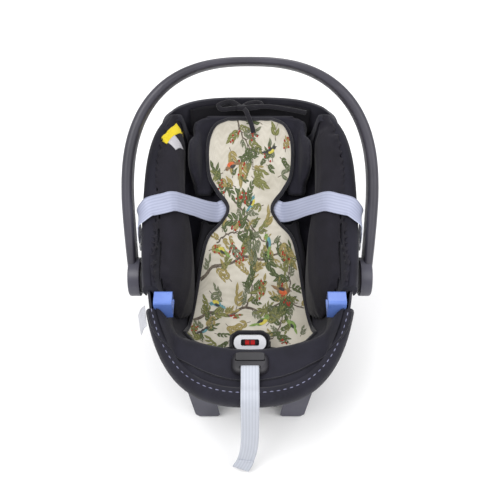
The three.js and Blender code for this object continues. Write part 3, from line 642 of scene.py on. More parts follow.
COVER_LOOK = cloth_look("cover_fabric", (21, 20, 29), (33, 32, 43), sheen=0.08)
WING_LOOK = cloth_look("wing_fabric", (20, 18, 25), (31, 29, 38), thread=0.0017, sheen=0.08)
INSERT_LOOK = cloth_look("insert_fabric", (14, 13, 18), (24, 23, 30), thread=0.0015, sheen=0.06)
POCKET_LOOK = cloth_look("pocket_fabric", (12, 11, 15), (20, 19, 25), sheen=0.05)
RIBBON_LOOK = cloth_look("ribbon_tape", (16, 15, 20), (32, 30, 38), thread=0.0011, strength=0.6)
BINDING_LOOK = cloth_look("binding_tape", (22, 22, 26), (44, 43, 50), thread=0.0013, strength=0.6)
SEAM_LOOK = cloth_look("seam_cord", (14, 14, 20), (30, 29, 38), thread=0.001)
THREAD_LOOK = cloth_look("stitch_thread", (96, 97, 124), (140, 142, 166), thread=0.0012, sheen=0.1)
SHELL_LOOK = plastic_look("shell_plastic", (40, 39, 47), (49, 48, 57), roughness=0.5)
HANDLE_LOOK = plastic_look("handle_plastic", (46, 45, 53), (56, 54, 64), roughness=0.42)
HUB_LOOK = plastic_look("hub_plastic", (56, 55, 66), (67, 66, 78), roughness=0.42)
# The rocker's own dark-grey plastic, drawn lighter than the shell and hub plastic: painted bounce light from
# the white floor.
ROCKER_BOUNCE_LIT_LOOK = plastic_look("rocker_plastic_painted_bounce_light", (60, 59, 70), (73, 72, 84), roughness=0.5)
GUIDE_LOOK = plastic_look("guide_plastic", (80, 108, 182), (98, 127, 197), roughness=0.3)
BEZEL_LOOK = plastic_look("bezel_plastic", (30, 29, 34), (38, 36, 42), roughness=0.5)
WHITE_LOOK = plastic_look("buckle_plastic", (206, 207, 212), (222, 223, 226), roughness=0.28)
RELEASE_LOOK = release_look()
BLACK_LOOK = plastic_look("black_plastic", (22, 21, 25), (34, 33, 38), roughness=0.45)
FOAM_LOOK = plastic_look("energy_foam", (224, 224, 220), (238, 238, 234), 0.9, grain=500, strength=0.5)
STEEL_LOOK = plastic_look("zinc_steel", (150, 152, 158), (176, 178, 184), roughness=0.35)
STRAP_LOOK = webbing_look("harness_webbing", (150, 155, 178), (166, 171, 193), 7)
ADJUSTER_STRAP_LOOK = webbing_look("adjuster_webbing", (164, 168, 178), (178, 182, 192), 6)
CROTCH_STRAP_LOOK = webbing_look("crotch_webbing", (28, 27, 34), (46, 45, 54), 7)
TAG_LOOK = cloth_look("tag_tape", (168, 169, 176), (194, 195, 201), thread=0.0012, sheen=0.1)
LABEL_LOOK = cloth_look("label_tape", (214, 188, 28), (234, 212, 52), thread=0.0012, sheen=0.1)
LABEL_WHITE_LOOK = cloth_look("label_panel", (178, 176, 182), (202, 200, 204), thread=0.0012, sheen=0.1)
LINER_LOOK = liner_look()
LEAF_LOOKS = [
    printed_look("leaf_deep", (40, 52, 30), (66, 80, 46), vein=(126, 132, 92)),
    printed_look("leaf_olive", (78, 82, 42), (110, 112, 62), vein=(152, 150, 102)),
    printed_look("leaf_grey", (66, 74, 56), (98, 104, 80), vein=(150, 150, 124)),
    printed_look("leaf_ochre", (112, 100, 54), (144, 130, 78), vein=(172, 158, 112)),
]
BRANCH_LOOK = printed_look("branch", (66, 58, 50), (112, 102, 90))
BERRY_LOOK = printed_look("berry", (124, 34, 28), (162, 58, 42))
BIRD_LOOKS = {
    "red": printed_look("bird_red", (176, 74, 44), (206, 112, 64)),
    "brown": printed_look("bird_brown", (104, 80, 58), (142, 116, 86)),
    "yellow": printed_look("bird_yellow", (170, 158, 58), (202, 190, 92)),
    "green": printed_look("bird_green", (92, 122, 62), (130, 152, 84)),
    "blue": printed_look("bird_blue", (70, 118, 128), (108, 152, 156)),
    "dark": printed_look("bird_dark", (42, 42, 44), (70, 68, 66)),
}


def show_node(name, material, bevel):
    """Keeps a CAD node as it is, with a finished material and softened edges."""
    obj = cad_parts[name]
    for slot in obj.material_slots:
        slot.link = "OBJECT"
        slot.material = material
    if bevel > 0:
        weld = obj.modifiers.new("Weld", "WELD")
        weld.merge_threshold = 0.00002
        edge = obj.modifiers.new("Bevel", "BEVEL")
        edge.width = bevel / 1000
        edge.segments = 2
        edge.limit_method = "ANGLE"
        edge.angle_limit = math.radians(32)


# ---- Shell ----

SHELL_SIDES = 240
HULL_RISES = [0.08 + (math.pi / 2 - 0.08) * (i / 34) ** 0.85 for i in range(35)]

# The bead along the rim, as inset and lift, and the boss under each hub, as distance out and radius.
RIM_BEAD = [(-0.8, 0.5), (-0.6, 2.2), (0.8, 3.2), (2.6, 3.0), (4.0, 1.6)]
BOSS_PROFILE = [(176, 27), (176, 30), (184, 31), (186.2, 30.4), (187, 29), (187, 8), (186, 6), (178, 6)]


def rim_angles(count):
    """Angles round the rim, the same on the left and the right."""
    return [2 * math.pi * (i + 0.5) / count for i in range(count)]


def make_shell():
    """The moulded shell: hull, rolled rim bead, and its inside."""
    angles = rim_angles(SHELL_SIDES)
    rings = [[hull_point(a, rise, 0) for a in angles] for rise in HULL_RISES]
    for inset, lift in RIM_BEAD:
        ring = []
        for angle in angles:
            x, y, z = hull_point(angle, math.pi / 2, inset)
            raised = smooth(COVER_HEAD_Y + 2, COVER_HEAD_Y + 14, rim_point(angle)[1])
            ring.append((x, y, z + lift * raised))
        rings.append(ring)
    rings += [[hull_point(a, rise, SHELL_WALL) for a in angles] for rise in reversed(HULL_RISES)]
    shell = loft("shell", rings, SHELL_LOOK)
    join_pieces(shell, *[lathe("boss", BOSS_PROFILE, SHELL_LOOK, side) for side in (-1, 1)])
    place_piece(shell, "root", "shell", "seat_shell")


# ---- Cover ----

COVER_SIDES = 260
CORNER_CROWDING = 0.45
COVER_SHARES = [0.03 + 0.89 * i / 40 for i in range(41)]

# The rolled rim, as inset from the outline and drop below the rim's height.
RIM_ROLL = [
    (24, 0.6), (20, -1.2), (16, -2.6), (12, -3.0), (8, -1.9), (4.6, 0.6), (2.0, 4.0), (0.5, 8.5), (-0.2, 13),
    (0.1, 18), (1.2, 22.5), (3.0, 25.6), (5.2, 26.2), (6.6, 25), (6.8, 18), (7.4, 13), (12, 11.6), (16, 11),
]

# Creases pressed into the leg area: [start, end, half width, depth].
CREASES = [
    ((-146, -128), (-112, -196), 5.0, 2.6),
    ((-132, -122), (-92, -172), 4.5, 2.2),
    ((-118, -108), (-66, -150), 4.0, 2.0),
    ((-158, -96), (-150, -44), 4.0, 1.8),
    ((-100, -212), (-54, -228), 4.0, 1.6),
    ((146, -126), (118, -190), 5.0, 2.4),
    ((130, -120), (84, -168), 4.5, 2.4),
    ((120, -104), (70, -146), 4.0, 1.8),
    ((158, -92), (152, -40), 4.0, 1.8),
    ((96, -214), (60, -228), 4.0, 1.6),
]


def crease_depth(x, y):
    """How far the fabric is pressed in by its creases and its uneven filling."""
    depth = 0.0
    here = Vector((x, y))
    for start, end, width, deepest in CREASES:
        a, b = Vector(start), Vector(end)
        share = clamp01((here - a).dot(b - a) / (b - a).length_squared)
        away = (here - a.lerp(b, share)).length
        fade = math.sin(math.pi * mix(0.12, 0.95, share))
        pressed = math.exp(-((away / width) ** 2)) - 0.45 * math.exp(-(((away - 2 * width) / width) ** 2))
        depth += deepest * fade * pressed
    lumps = noise.noise(Vector((x * 0.018, y * 0.018, 3.0)))
    return depth + 1.3 * lumps


def bowl_angle(angle):
    """Brings the angles closer together at the two head corners."""
    return angle + CORNER_CROWDING * math.sin(4 * angle) / 4 if angle < math.pi else angle


def cover_rings(angles, shares, layer, creased):
    rings = []
    for share in shares:
        ring = []
        for angle in angles:
            rim_x, rim_y = rim_point(angle)
            x, y = share * rim_x, RIM_MID_Y + share * (min(rim_y, COVER_HEAD_Y) - RIM_MID_Y)
            z = bed_height(x, y, layer)
            ring.append((x, y, z - crease_depth(x, y) if creased else z))
        rings.append(ring)
    return rings


def cover_edge(angles, inset, drop):
    ring = []
    for angle in angles:
        x, y = rim_point(angle, inset)
        outline_y = min(rim_point(angle)[1], COVER_HEAD_Y)
        y = min(y, COVER_HEAD_Y - inset)
        out = 2.5 if inset > 15 else 0.0
        lip = mix(drop, 6 + 0.15 * drop if drop > 4 else drop, smooth(226, COVER_HEAD_Y, outline_y))
        head_edge = layer_middle(x, y, COVER_TOP[0]) + 2
        level = mix(rim_height(outline_y), head_edge, head_opening(x, outline_y, out if drop > 4 else 0.0))
        ring.append((x, y, level - lip + 0.5 * noise.noise(Vector((x, y, inset)) * 0.03)))
    return ring


# The least height of the cover's top over the foam.
FOAM_CLEARANCE = 3.0


def over_foam(rings):
    """The cover's top lifted where the foam under it would otherwise show."""
    foam = surface_of(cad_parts["energy_foam"])
    return [[(x, y, max(z, drop_on(foam, x, y) + FOAM_CLEARANCE)) for x, y, z in ring] for ring in rings]


def make_cover():
    angles = [bowl_angle(angle) for angle in rim_angles(COVER_SIDES)]
    rings = over_foam(cover_rings(angles, COVER_SHARES, COVER_TOP, True))
    rings += [cover_edge(angles, inset, drop) for inset, drop in RIM_ROLL]
    rings += cover_rings(angles, [0.84, 0.6, 0.3, 0.03], COVER_UNDER, False)
    cover = loft("cover", rings, COVER_LOOK)
    cut_belt_notches(cover)
    place_piece(cover, "root", "cover", "seat_cover")
    return cover


def box_mesh(name, low, high):
    """A plain block, used only to cut with."""
    corners = [(x, y, z) for x in (low[0], high[0]) for y in (low[1], high[1]) for z in (low[2], high[2])]
    faces = [(0, 1, 3, 2), (4, 6, 7, 5), (0, 4, 5, 1), (2, 3, 7, 6), (0, 2, 6, 4), (1, 5, 7, 3)]
    return add_piece(name, corners, faces, COVER_LOOK)


def cut_with(obj, cutter, sharp_angle=50):
    """Takes a block away from a piece, and keeps the cut's edges crisp."""
    boolean = obj.modifiers.new("Cut", "BOOLEAN")
    boolean.operation = "DIFFERENCE"
    boolean.solver = "EXACT"
    boolean.object = cutter
    applied(obj)
    bpy.data.objects.remove(cutter)
    obj.data.set_sharp_from_angle(angle=math.radians(sharp_angle))


def cut_belt_notches(cover):
    for side in (-1, 1):
        near, far = sorted((side * 124, side * 200))
        cut_with(cover, box_mesh("notch", (near, -125, 211), (far, -87, 300)))


STITCH_PITCH = 10.5
STITCH_LENGTH = 6.4
STITCH_WIDTH = 1.7
STITCH_SIDES = 12
STITCH_STEPS = 1600
STITCH_HEAD_Y = -128


def make_cover_trim(surface):
    """The sewn seam inside the rim, and the row of long stitches round the front of the rim."""
    half = [(0, -240), (50, -232), (96, -210), (128, -190), (149, -171), (162, -146), (166, -128)]
    line = stations([(-x, y) for x, y in reversed(half)] + half[1:], 120)
    path = [(x, y, drop_on(surface, x, y, SHELF_Z) + 0.5) for x, y in line]
    seam = tube("cover_seam", path, 1.5, SEAM_LOOK, 8)
    place_piece(seam, "root", "cover")
    points, faces = [], []
    travelled, previous = 0.0, None
    for step in range(STITCH_STEPS):
        angle = mix(-math.pi * 0.93, -math.pi * 0.07, step / STITCH_STEPS)
        inset = mix(7, 13, smooth(-0.35, -0.95, math.sin(angle)))
        x, y = rim_point(angle, inset)
        if previous is not None:
            travelled += math.hypot(x - previous[0], y - previous[1])
        before, previous = previous, (x, y)
        if y > STITCH_HEAD_Y or travelled < STITCH_PITCH or before is None:
            continue
        travelled = 0.0
        add_stitch(points, faces, surface, (x, y), direction(before, (x, y)))
    stitches = add_piece("rim_stitches", points, faces, THREAD_LOOK)
    place_piece(stitches, "root", "cover")


def add_stitch(points, faces, surface, middle, along):
    """One long stitch: a low rounded bar that lies on the fabric."""
    across = turned_left(along)
    first = len(points)
    for wide, high in ((1.0, 0.0), (0.7, 0.7), (0.0, 1.0)):
        for i in range(STITCH_SIDES):
            angle = 2 * math.pi * i / STITCH_SIDES
            reach = along * math.cos(angle) * STITCH_LENGTH / 2 * wide
            reach += across * math.sin(angle) * STITCH_WIDTH / 2 * wide
            x, y = middle[0] + reach.x, middle[1] + reach.y
            points.append((x, y, drop_on(surface, x, y, SHELF_Z) + 1.1 * high - 0.2))
    faces += [tuple(first + i for i in face) for face in ring_faces(3, STITCH_SIDES, capped=False)]


# ---- Wings, insert, pocket lining ----

# The wings' inner edge, as (y, x, z).
WING_INNER_EDGE = [
    (-82, 127, 176), (-50, 114, 188), (-13, 107, 204), (43, 108, 246), (99, 120, 290), (150, 124, 320),
    (226, 122, 344),
]


def make_wing(side, surface):
    """One padded side wing, swollen by simulation."""

    def place(u, v, is_top):
        inner_y, inner_x, inner_z = catmull(WING_INNER_EDGE, v)
        share = u**1.4
        ends = smooth(0, 0.12, v) * smooth(1, 0.94, v)
        x = mix(inner_x, rim_half_width(inner_y) - 14, share)
        level = mix(inner_z, rim_height(inner_y) + 1, share) + 9 * math.sin(math.pi * share)
        level -= mix(24, 13, ends) * (1 - smooth(0, 0.2, share)) + 8 * (1 - ends) + 5 * smooth(0.85, 1, share)
        bed = drop_on(surface, side * x, inner_y, bed_height(x, inner_y, COVER_TOP))
        sink = smooth(0.84, 1, u)
        top = mix(max(level, bed + 7), bed + 0.6, sink)
        return side * x, inner_y, top if is_top else bed + mix(3, -2, sink)

    hand = "left" if side < 0 else "right"
    wing = pad("wing_" + hand, place, 20, 70, WING_LOOK)
    puff(wing, voxel=4.5, cap=4.0)
    place_piece(wing, "root", "cover", "wing_pad_" + hand)
    return wing


def make_insert(surface):
    """The thin inner cushion under the liner, with rolled sides."""

    def place(u, v, is_top):
        span = 2 * u - 1
        y = mix(-100 + 26 * span * span, 94, v)
        half = 103 - 12 * smooth(40, 94, y)
        x = half * span
        floor = drop_on(surface, x, y, bed_height(x, y, COVER_TOP))
        edge = abs(span) ** 6
        roll = 13 * smooth(half - 16, half - 6, abs(x)) * smooth(-10, 50, y)
        top = layer_middle(x, y, -10) + roll - 7 * smooth(0.93, 1, abs(span))
        top -= 5 * smooth(0.04, 0, v) * (1 - edge)
        return x, y, max(top, floor + 4.5) if is_top else floor + 1.5

    insert = pad("insert", place, 48, 48, INSERT_LOOK)
    place_piece(insert, "root", "insert", "body_insert")
    return insert


def make_pocket_lining():
    """The dark cloth between the cover's head edge and the shell's rim."""

    def place(u, v, is_top):
        x = mix(-112, 112, u)
        y = mix(COVER_HEAD_Y + 1.5, head_edge_y(x) - 9, v)
        low = layer_middle(x, COVER_HEAD_Y, COVER_TOP[0]) + 1
        sag = 5 * math.sin(math.pi * v) + 1.2 * noise.noise(Vector((x, y, 9)) * 0.05)
        return x, y, mix(low, RIM_HEAD_Z - 8, v) - (0 if is_top else 2) - sag

    lining = pad("pocket_lining", place, 60, 12, POCKET_LOOK)
    place_piece(lining, "root", "insert", "head_pocket_lining")


# ---- Headrest ----

HEADREST_LOW = 238
HEADREST_HIGH = 392
HEADREST_MIDDLE_LOW = 274


def make_headrest():
    """The U-shaped headrest pad with its two side lobes, swollen by simulation."""

    def place(u, v, is_top):
        span = abs(2 * u - 1)
        low = mix(HEADREST_MIDDLE_LOW, HEADREST_LOW, smooth(0.55, 0.78, span))
        s = mix(low, HEADREST_HIGH, v)
        half = 117 - 9 * smooth(300, 236, s) - 7.5 * smooth(334, 352, s) - 36 * smooth(370, 400, s) ** 1.5
        x = mix(-half, half, u)
        lobe_height = 12 + 36 * smooth(236, 300, s) * (1 - smooth(322, 384, s))
        lobe = smooth(90, 104, abs(x)) * lobe_height
        top = mix(-15, -12 + lobe, smooth(half, half - 13, abs(x)))
        back = mix(-25, -18, smooth(366, HEADREST_HIGH, s))
        return back_point(x, s, top) if is_top else back_point(0.9 * x, s, back)

    pad_piece = pad("headrest", place, 52, 26, COVER_LOOK)
    puff(pad_piece, voxel=4.0, cap=3.5)
    place_piece(pad_piece, "headrest", "cover", "headrest_pad")


# ---- Liner ----

# The liner's side, as (y, half width), from the foot to the head.
LINER_OUTLINE = [
    (-104, 117), (-79, 115), (-20, 104), (46, 90), (74, 78), (94, 54), (113, 43),
    (134, 62), (156, 77), (188, 81), (212, 77), (229, 64), (237, 40),
]
LINER_FOOT_Y, LINER_FOOT_HALF = LINER_OUTLINE[0]
LINER_HEAD_Y, LINER_HEAD_HALF = LINER_OUTLINE[-1]
LINER_SAG = 16
LINER_THICKNESS = 5
NOTCH_HALF = 32
NOTCH_HEAD_Y = -76
NOTCH_CORNER = 10


def liner_place(u, v, under):
    """A point of the liner's underside, for u across and v along."""
    y, half = catmull(LINER_OUTLINE, v)
    span = 2 * u - 1
    y -= LINER_SAG * (1 - span * span) * (1 - smooth(0, 0.2, v))
    x = half * span
    bed = drop_on(under, x, y, 0)
    return x, y, max(layer_middle(x, y, -5), bed + 1.2)


def make_liner(under):
    """The printed liner: a thin padded sheet with a notch for the buckle."""

    def place(u, v, is_top):
        x, y, z = liner_place(u, v, under)
        edge = min(1.0, 0.35 + 6 * min(u, 1 - u, v, 1 - v))
        quilt = 0.7 * noise.noise(Vector((x, y, 5)) * 0.035) + 0.5 * math.cos(x * 0.3) * smooth(124, 150, y)
        return x, y, z + (LINER_THICKNESS * edge + quilt if is_top else 0.2)

    liner = pad("liner_sheet", place, 60, 120, LINER_LOOK)
    cut_with(liner, notch_mesh())
    place_piece(liner, "root", "liner", "liner")
    return liner


def rounded_rectangle(width, height, radius, steps=6):
    """Points round a rectangle with round corners, about its middle."""
    points = []
    for corner, (sx, sy) in enumerate(((1, -1), (1, 1), (-1, 1), (-1, -1))):
        centre = (sx * (width / 2 - radius), sy * (height / 2 - radius))
        for i in range(steps + 1):
            angle = math.pi / 2 * (corner - 1 + i / steps)
            points.append(reach_from(centre, radius, angle))
    return points


def notch_mesh():
    outline = rounded_rectangle(2 * NOTCH_HALF, 80, NOTCH_CORNER)
    return loft("notch", [[(x, y - 116, z) for x, y in outline] for z in (60, 170)], LINER_LOOK)


def liner_edge():
    """The liner's edge as (x, y) points all the way round, with the buckle notch."""
    count = 90
    right = []
    for i in range(count + 1):
        y, half = catmull(LINER_OUTLINE, i / count)
        right.append((half, y))
    head = [(mix(LINER_HEAD_HALF, -LINER_HEAD_HALF, i / 16), LINER_HEAD_Y) for i in range(1, 16)]
    left = [(-x, y) for x, y in reversed(right)]
    foot = []
    for i in range(41):
        x = mix(-LINER_FOOT_HALF, -NOTCH_HALF, i / 40)
        foot.append((x, LINER_FOOT_Y - LINER_SAG * (1 - (x / LINER_FOOT_HALF) ** 2)))
    notch = [(-NOTCH_HALF, mix(foot[-1][1], NOTCH_HEAD_Y - NOTCH_CORNER, i / 4)) for i in range(1, 4)]
    for i in range(7):
        angle = math.pi - math.pi / 2 * i / 6
        x = -NOTCH_HALF + NOTCH_CORNER * (1 + math.cos(angle))
        notch.append((x, NOTCH_HEAD_Y - NOTCH_CORNER * (1 - math.sin(angle))))
    path = foot[1:] + notch
    mirrored = [(-x, y) for x, y in reversed(path)]
    return right + head + left + path + mirrored[:-1]


def make_binding(surface, under):
    """The dark tape sewn round the liner's edge."""
    edge = liner_edge()
    count = len(edge)
    rings = []
    for i, (x, y) in enumerate(edge):
        inward = turned_left(direction(edge[i - 1], edge[(i + 1) % count]))
        bed = drop_on(under, x, y, layer_middle(x, y, -8))
        middle_z = max(layer_middle(x, y, -5), bed + 1.2) + 2.2
        inner_z = drop_on(surface, x + inward.x * 4.6, y + inward.y * 4.6, middle_z + 2)
        ring = []
        for reach, z in (
            (5.2, max(inner_z, middle_z) + 0.25), (4.6, inner_z + 0.9), (2.4, middle_z + 3.3),
            (0.2, middle_z + 2.6), (-1.1, middle_z + 0.8), (-1.1, middle_z - 0.9), (0.4, middle_z - 2.0),
            (3.0, middle_z - 2.0),
        ):
            ring.append((x + inward.x * reach, y + inward.y * reach, z))
        rings.append(ring)
    binding = loft("liner_binding", rings, BINDING_LOOK, joined=True)
    place_piece(binding, "root", "liner")


# ---- The liner's print ----


class Print:
    """Thin printed shapes that lie on the liner, gathered by ink."""

    def __init__(self, surface):
        self.surface = surface
        self.inks = {}

    def sheet(self, ink, rows, lift):
        """A strip of points across and along, laid on the cloth. rows lists [(x, y, across, along), ...]."""
        points, faces, uvs = self.inks.setdefault(ink, ([], [], []))
        first, wide = len(points), len(rows[0])
        laid = []
        for row in rows:
            for x, y, across, along in row:
                z = drop_on(self.surface, x, y, -1)
                laid.append(z)
                points.append((x, y, z + lift))
                uvs.append((across, along))
        if min(laid) < 0:
            del points[first:]
            del uvs[first:]
            return False
        for j in range(len(rows) - 1):
            for i in range(wide - 1):
                a = first + j * wide + i
                faces.append((a, a + 1, a + wide + 1, a + wide))
        return True

    def strip(self, ink, line, widths, lift):
        """A tapering band along (x, y) points."""
        rows = []
        for i, (x, y) in enumerate(line):
            across = turned_left(direction(line[max(i - 1, 0)], line[min(i + 1, len(line) - 1)]))
            half = widths[i] / 2
            along = i / (len(line) - 1)
            shares = (-1, -0.5, 0, 0.5, 1)
            rows.append([(x + across.x * half * k, y + across.y * half * k, k, along) for k in shares])
        return self.sheet(ink, rows, lift)

    def leaf(self, ink, start, angle, length, width, bend=0.0, lift=0.35):
        """A pointed leaf from its stalk."""
        line, widths = [], []
        for i in range(9):
            share = i / 8
            line.append(reach_from(start, length * share, angle + bend * share))
            widths.append(max(0.25, width * math.sin(math.pi * share**0.8) ** 0.9))
        return self.strip(ink, line, widths, lift)

    def spot(self, ink, middle, long_half, short_half, angle=0.0, lift=0.45):
        """A filled oval."""
        points = []
        for k in (1.0, 0.6, 0.02):
            row = []
            for i in range(17):
                turn = 2 * math.pi * i / 16
                a, b = long_half * k * math.cos(turn), short_half * k * math.sin(turn)
                x = middle[0] + a * math.cos(angle) - b * math.sin(angle)
                y = middle[1] + a * math.sin(angle) + b * math.cos(angle)
                row.append((x, y, k, i / 16))
            points.append(row)
        return self.sheet(ink, points, lift)


BRANCHES = [
    ([(-72, 140), (-48, 149), (-22, 155), (6, 166), (36, 172), (70, 190)], 4.6),
    ([(-24, 234), (-16, 214), (-2, 196), (4, 178), (6, 166)], 3.0),
    ([(-34, 124), (-18, 112), (-6, 96), (8, 80), (24, 66), (46, 60)], 3.4),
    ([(-92, 12), (-66, 30), (-38, 34), (-10, 44), (22, 40), (54, 48), (88, 40)], 5.2),
    ([(-104, -52), (-72, -36), (-40, -40), (-8, -26), (26, -34), (60, -20), (100, -30)], 5.4),
    ([(-8, -26), (4, -4), (0, 18), (12, 40)], 3.2),
    ([(60, -20), (74, 2), (72, 24), (80, 46)], 3.0),
    ([(36, -92), (50, -72), (58, -48), (60, -20)], 3.6),
    ([(-98, -82), (-80, -66), (-72, -36)], 3.2),
    ([(-62, 62), (-44, 74), (-20, 78), (8, 80)], 2.8),
]

# Small birds: [place, heading in degrees, size, back ink, belly ink].
BIRDS = [
    ((-34, 170), 200, 1.0, "brown", "red"),
    ((38, 190), 20, 0.85, "dark", "yellow"),
    ((-52, 52), 160, 0.9, "green", "yellow"),
    ((34, 62), 100, 1.05, "green", "blue"),
    ((60, -4), 350, 1.1, "brown", "red"),
    ((22, -50), 30, 1.25, "green", "yellow"),
    ((-62, -22), 170, 0.95, "blue", "yellow"),
    ((78, -60), 120, 1.1, "green", "green"),
    ((-84, -74), 40, 0.85, "dark", "blue"),
    ((4, 118), 60, 0.8, "blue", "yellow"),
]
SPRIGS = 62


def liner_half(y):
    """Half the liner's width at a place along the seat."""
    for (near, half), (far, next_half) in zip(LINER_OUTLINE, LINER_OUTLINE[1:]):
        if y <= far:
            return mix(half, next_half, clamp01((y - near) / (far - near)))
    return LINER_OUTLINE[-1][1]


def make_print(surface):
    """Branches, leaves, berries and small plain birds over the whole liner, in a seeded order."""
    random.seed(11)
    prints = Print(surface)
    for points, width in BRANCHES:
        count = 34
        line = [tuple(point) for point in stations(points, count)]
        wobble = [(x + 0.8 * math.sin(i * 0.9), y + 0.8 * math.cos(i * 1.3)) for i, (x, y) in enumerate(line)]
        widths = [width * mix(1, 0.35, i / count) * (0.85 + 0.3 * random.random()) for i in range(count + 1)]
        prints.strip("branch", wobble, widths, 0.3)
        for i in range(3, count, 3):
            x, y = wobble[i]
            ahead = wobble[i + 1]
            heading = math.atan2(ahead[1] - y, ahead[0] - x)
            side = 1 if (i // 3) % 2 else -1
            grow_sprig(prints, (x, y), heading + side * random.uniform(0.7, 1.2), random.uniform(12, 24))
    for i in range(SPRIGS):
        y = mix(-112, 230, ((i + 0.5) / SPRIGS) ** 1.3)
        start = ((2 * (i * 0.618 % 1) - 1) * 0.88 * liner_half(y), y + random.uniform(-5, 5))
        grow_sprig(prints, start, random.uniform(0, 2 * math.pi), random.uniform(18, 34))
    for middle, heading, size, back, belly in BIRDS:
        draw_bird(prints, middle, math.radians(heading), size, back, belly)
    looks = {"branch": BRANCH_LOOK, "berry": BERRY_LOOK}
    looks.update({f"leaf{i}": look for i, look in enumerate(LEAF_LOOKS)})
    looks.update(BIRD_LOOKS)
    sheets = []
    for ink, (points, faces, uvs) in prints.inks.items():
        sheets.append(add_piece("print_" + ink, points, faces, looks[ink], uvs=uvs))
    drawing = join_pieces(*sheets)
    drawing.name = "liner_print"
    place_piece(drawing, "root", "liner")


def grow_sprig(prints, start, heading, length):
    """A twig with leaves on both sides and one at its tip, and sometimes berries."""
    steps = 8
    bend = random.uniform(-0.5, 0.5)
    ink = f"leaf{random.choice((0, 0, 1, 1, 2, 3))}"
    line = [reach_from(start, length * i / steps, heading + bend * i / steps) for i in range(steps + 1)]
    if not prints.strip("branch", line, [mix(1.3, 0.6, i / steps) for i in range(steps + 1)], 0.32):
        return
    leaf_length = length * random.uniform(0.42, 0.62)
    for i in range(2, steps, 2):
        for side in (-1, 1):
            turn = heading + bend * i / steps + side * random.uniform(0.6, 1.0)
            reach = leaf_length * random.uniform(0.75, 1.1)
            prints.leaf(ink, line[i], turn, reach, leaf_length * 0.38, -side * 0.3)
    prints.leaf(ink, line[-1], heading + bend, leaf_length, leaf_length * 0.42)
    if random.random() < 0.16:
        for _ in range(6):
            stalk = line[random.randrange(3, steps)]
            reach, turn = random.uniform(3, 8), random.uniform(0, 2 * math.pi)
            prints.spot("berry", reach_from(stalk, reach, turn), 1.7, 1.7)


def draw_bird(prints, middle, heading, size, back, belly):
    """A plain small bird seen from the side: tail, body, belly, wing, head, eye and beak."""

    def spot_at(along, across):
        c, s = math.cos(heading), math.sin(heading)
        return (
            middle[0] + size * (along * c - across * s),
            middle[1] + size * (along * s + across * c),
        )

    prints.leaf(back, spot_at(-6, 0.5), heading + math.pi - 0.25, 15 * size, 4.2 * size, lift=0.5)
    prints.spot(back, middle, 9 * size, 4.8 * size, heading, 0.55)
    prints.spot(belly, spot_at(1.5, -1.6), 6.8 * size, 3.3 * size, heading, 0.6)
    prints.leaf("dark", spot_at(4, 1.4), heading + math.pi - 0.1, 12 * size, 4.6 * size, lift=0.65)
    prints.spot(back, spot_at(9.5, 2.2), 3.6 * size, 3.2 * size, heading, 0.62)
    prints.spot("dark", spot_at(10.6, 2.8), 0.7 * size, 0.7 * size, heading, 0.7)
    prints.leaf("dark", spot_at(12.4, 2.4), heading - 0.1, 3.6 * size, 1.3 * size, lift=0.6)


# ---- Handle ----

ARCH_STEPS = 120
ARM_STEPS = 24
ARM_END = 4
HANDLE_SHARP_ANGLE = 28

# The bar's section: share from its outer to its inner face, and depth as a share of half the bar's depth.
BAR_SECTION = [
    (0.0, 0.5), (0.03, 0.68), (0.12, 0.84), (0.28, 0.95), (0.5, 1.0), (0.74, 0.97), (0.88, 0.9), (0.97, 0.78),
    (1.0, 0.62),
]

# The hub, with a ring groove in its face, as distance out and radius.
HUB_PROFILE = [
    (HUB_INNER_X, 27), (HUB_INNER_X, 33), (191.4, HUB_RADIUS), (207.5, HUB_RADIUS), (209.6, 33.2),
    (210.8, 31.6), (HUB_OUTER_X, 29), (HUB_OUTER_X, 24.6), (210.3, 24), (210.3, 23), (HUB_OUTER_X, 22.4),
    (HUB_OUTER_X, 15.2), (210.4, 13.9), (205.0, 13.7), (205.0, 27),
]


def arch_point(half, rise, share):
    """A point of a superellipse arch: (x, up the arm)."""
    angle = share * math.pi
    c, s = math.cos(angle), math.sin(angle)
    radius = (abs(c / half) ** ARCH_SQUARENESS + (s / rise) ** ARCH_SQUARENESS) ** (-1 / ARCH_SQUARENESS)
    return radius * c, ARCH_CENTRE + radius * s


def on_handle(x, up, depth):
    """From handle coordinates (across, up the arm, out of the arch) to the drawing frame."""
    turn = math.pi / 2 - HANDLE_TILT
    return (
        x,
        PIVOT_Y + up * math.cos(turn) - depth * math.sin(turn),
        PIVOT_Z + up * math.sin(turn) + depth * math.cos(turn),
    )


def bar_ring(outer, inner):
    corners = BAR_SECTION + [(share, -depth) for share, depth in reversed(BAR_SECTION)]
    return [
        on_handle(mix(outer[0], inner[0], k), mix(outer[1], inner[1], k), depth * BAR_DEPTH / 2)
        for k, depth in corners
    ]


def arm_rings(side):
    """The bar's sections down one arm, from the arch to the hub."""
    rings = []
    for step in range(1, ARM_STEPS + 1):
        k = step / ARM_STEPS
        up = mix(ARCH_CENTRE, ARM_END, k)
        outer = (side * mix(ARCH_OUTER_HALF, HUB_OUTER_X, k**1.4), up)
        inner = (side * mix(ARCH_INNER_HALF, HUB_INNER_X + 5, k**1.2), up)
        rings.append(bar_ring(outer, inner))
    return rings


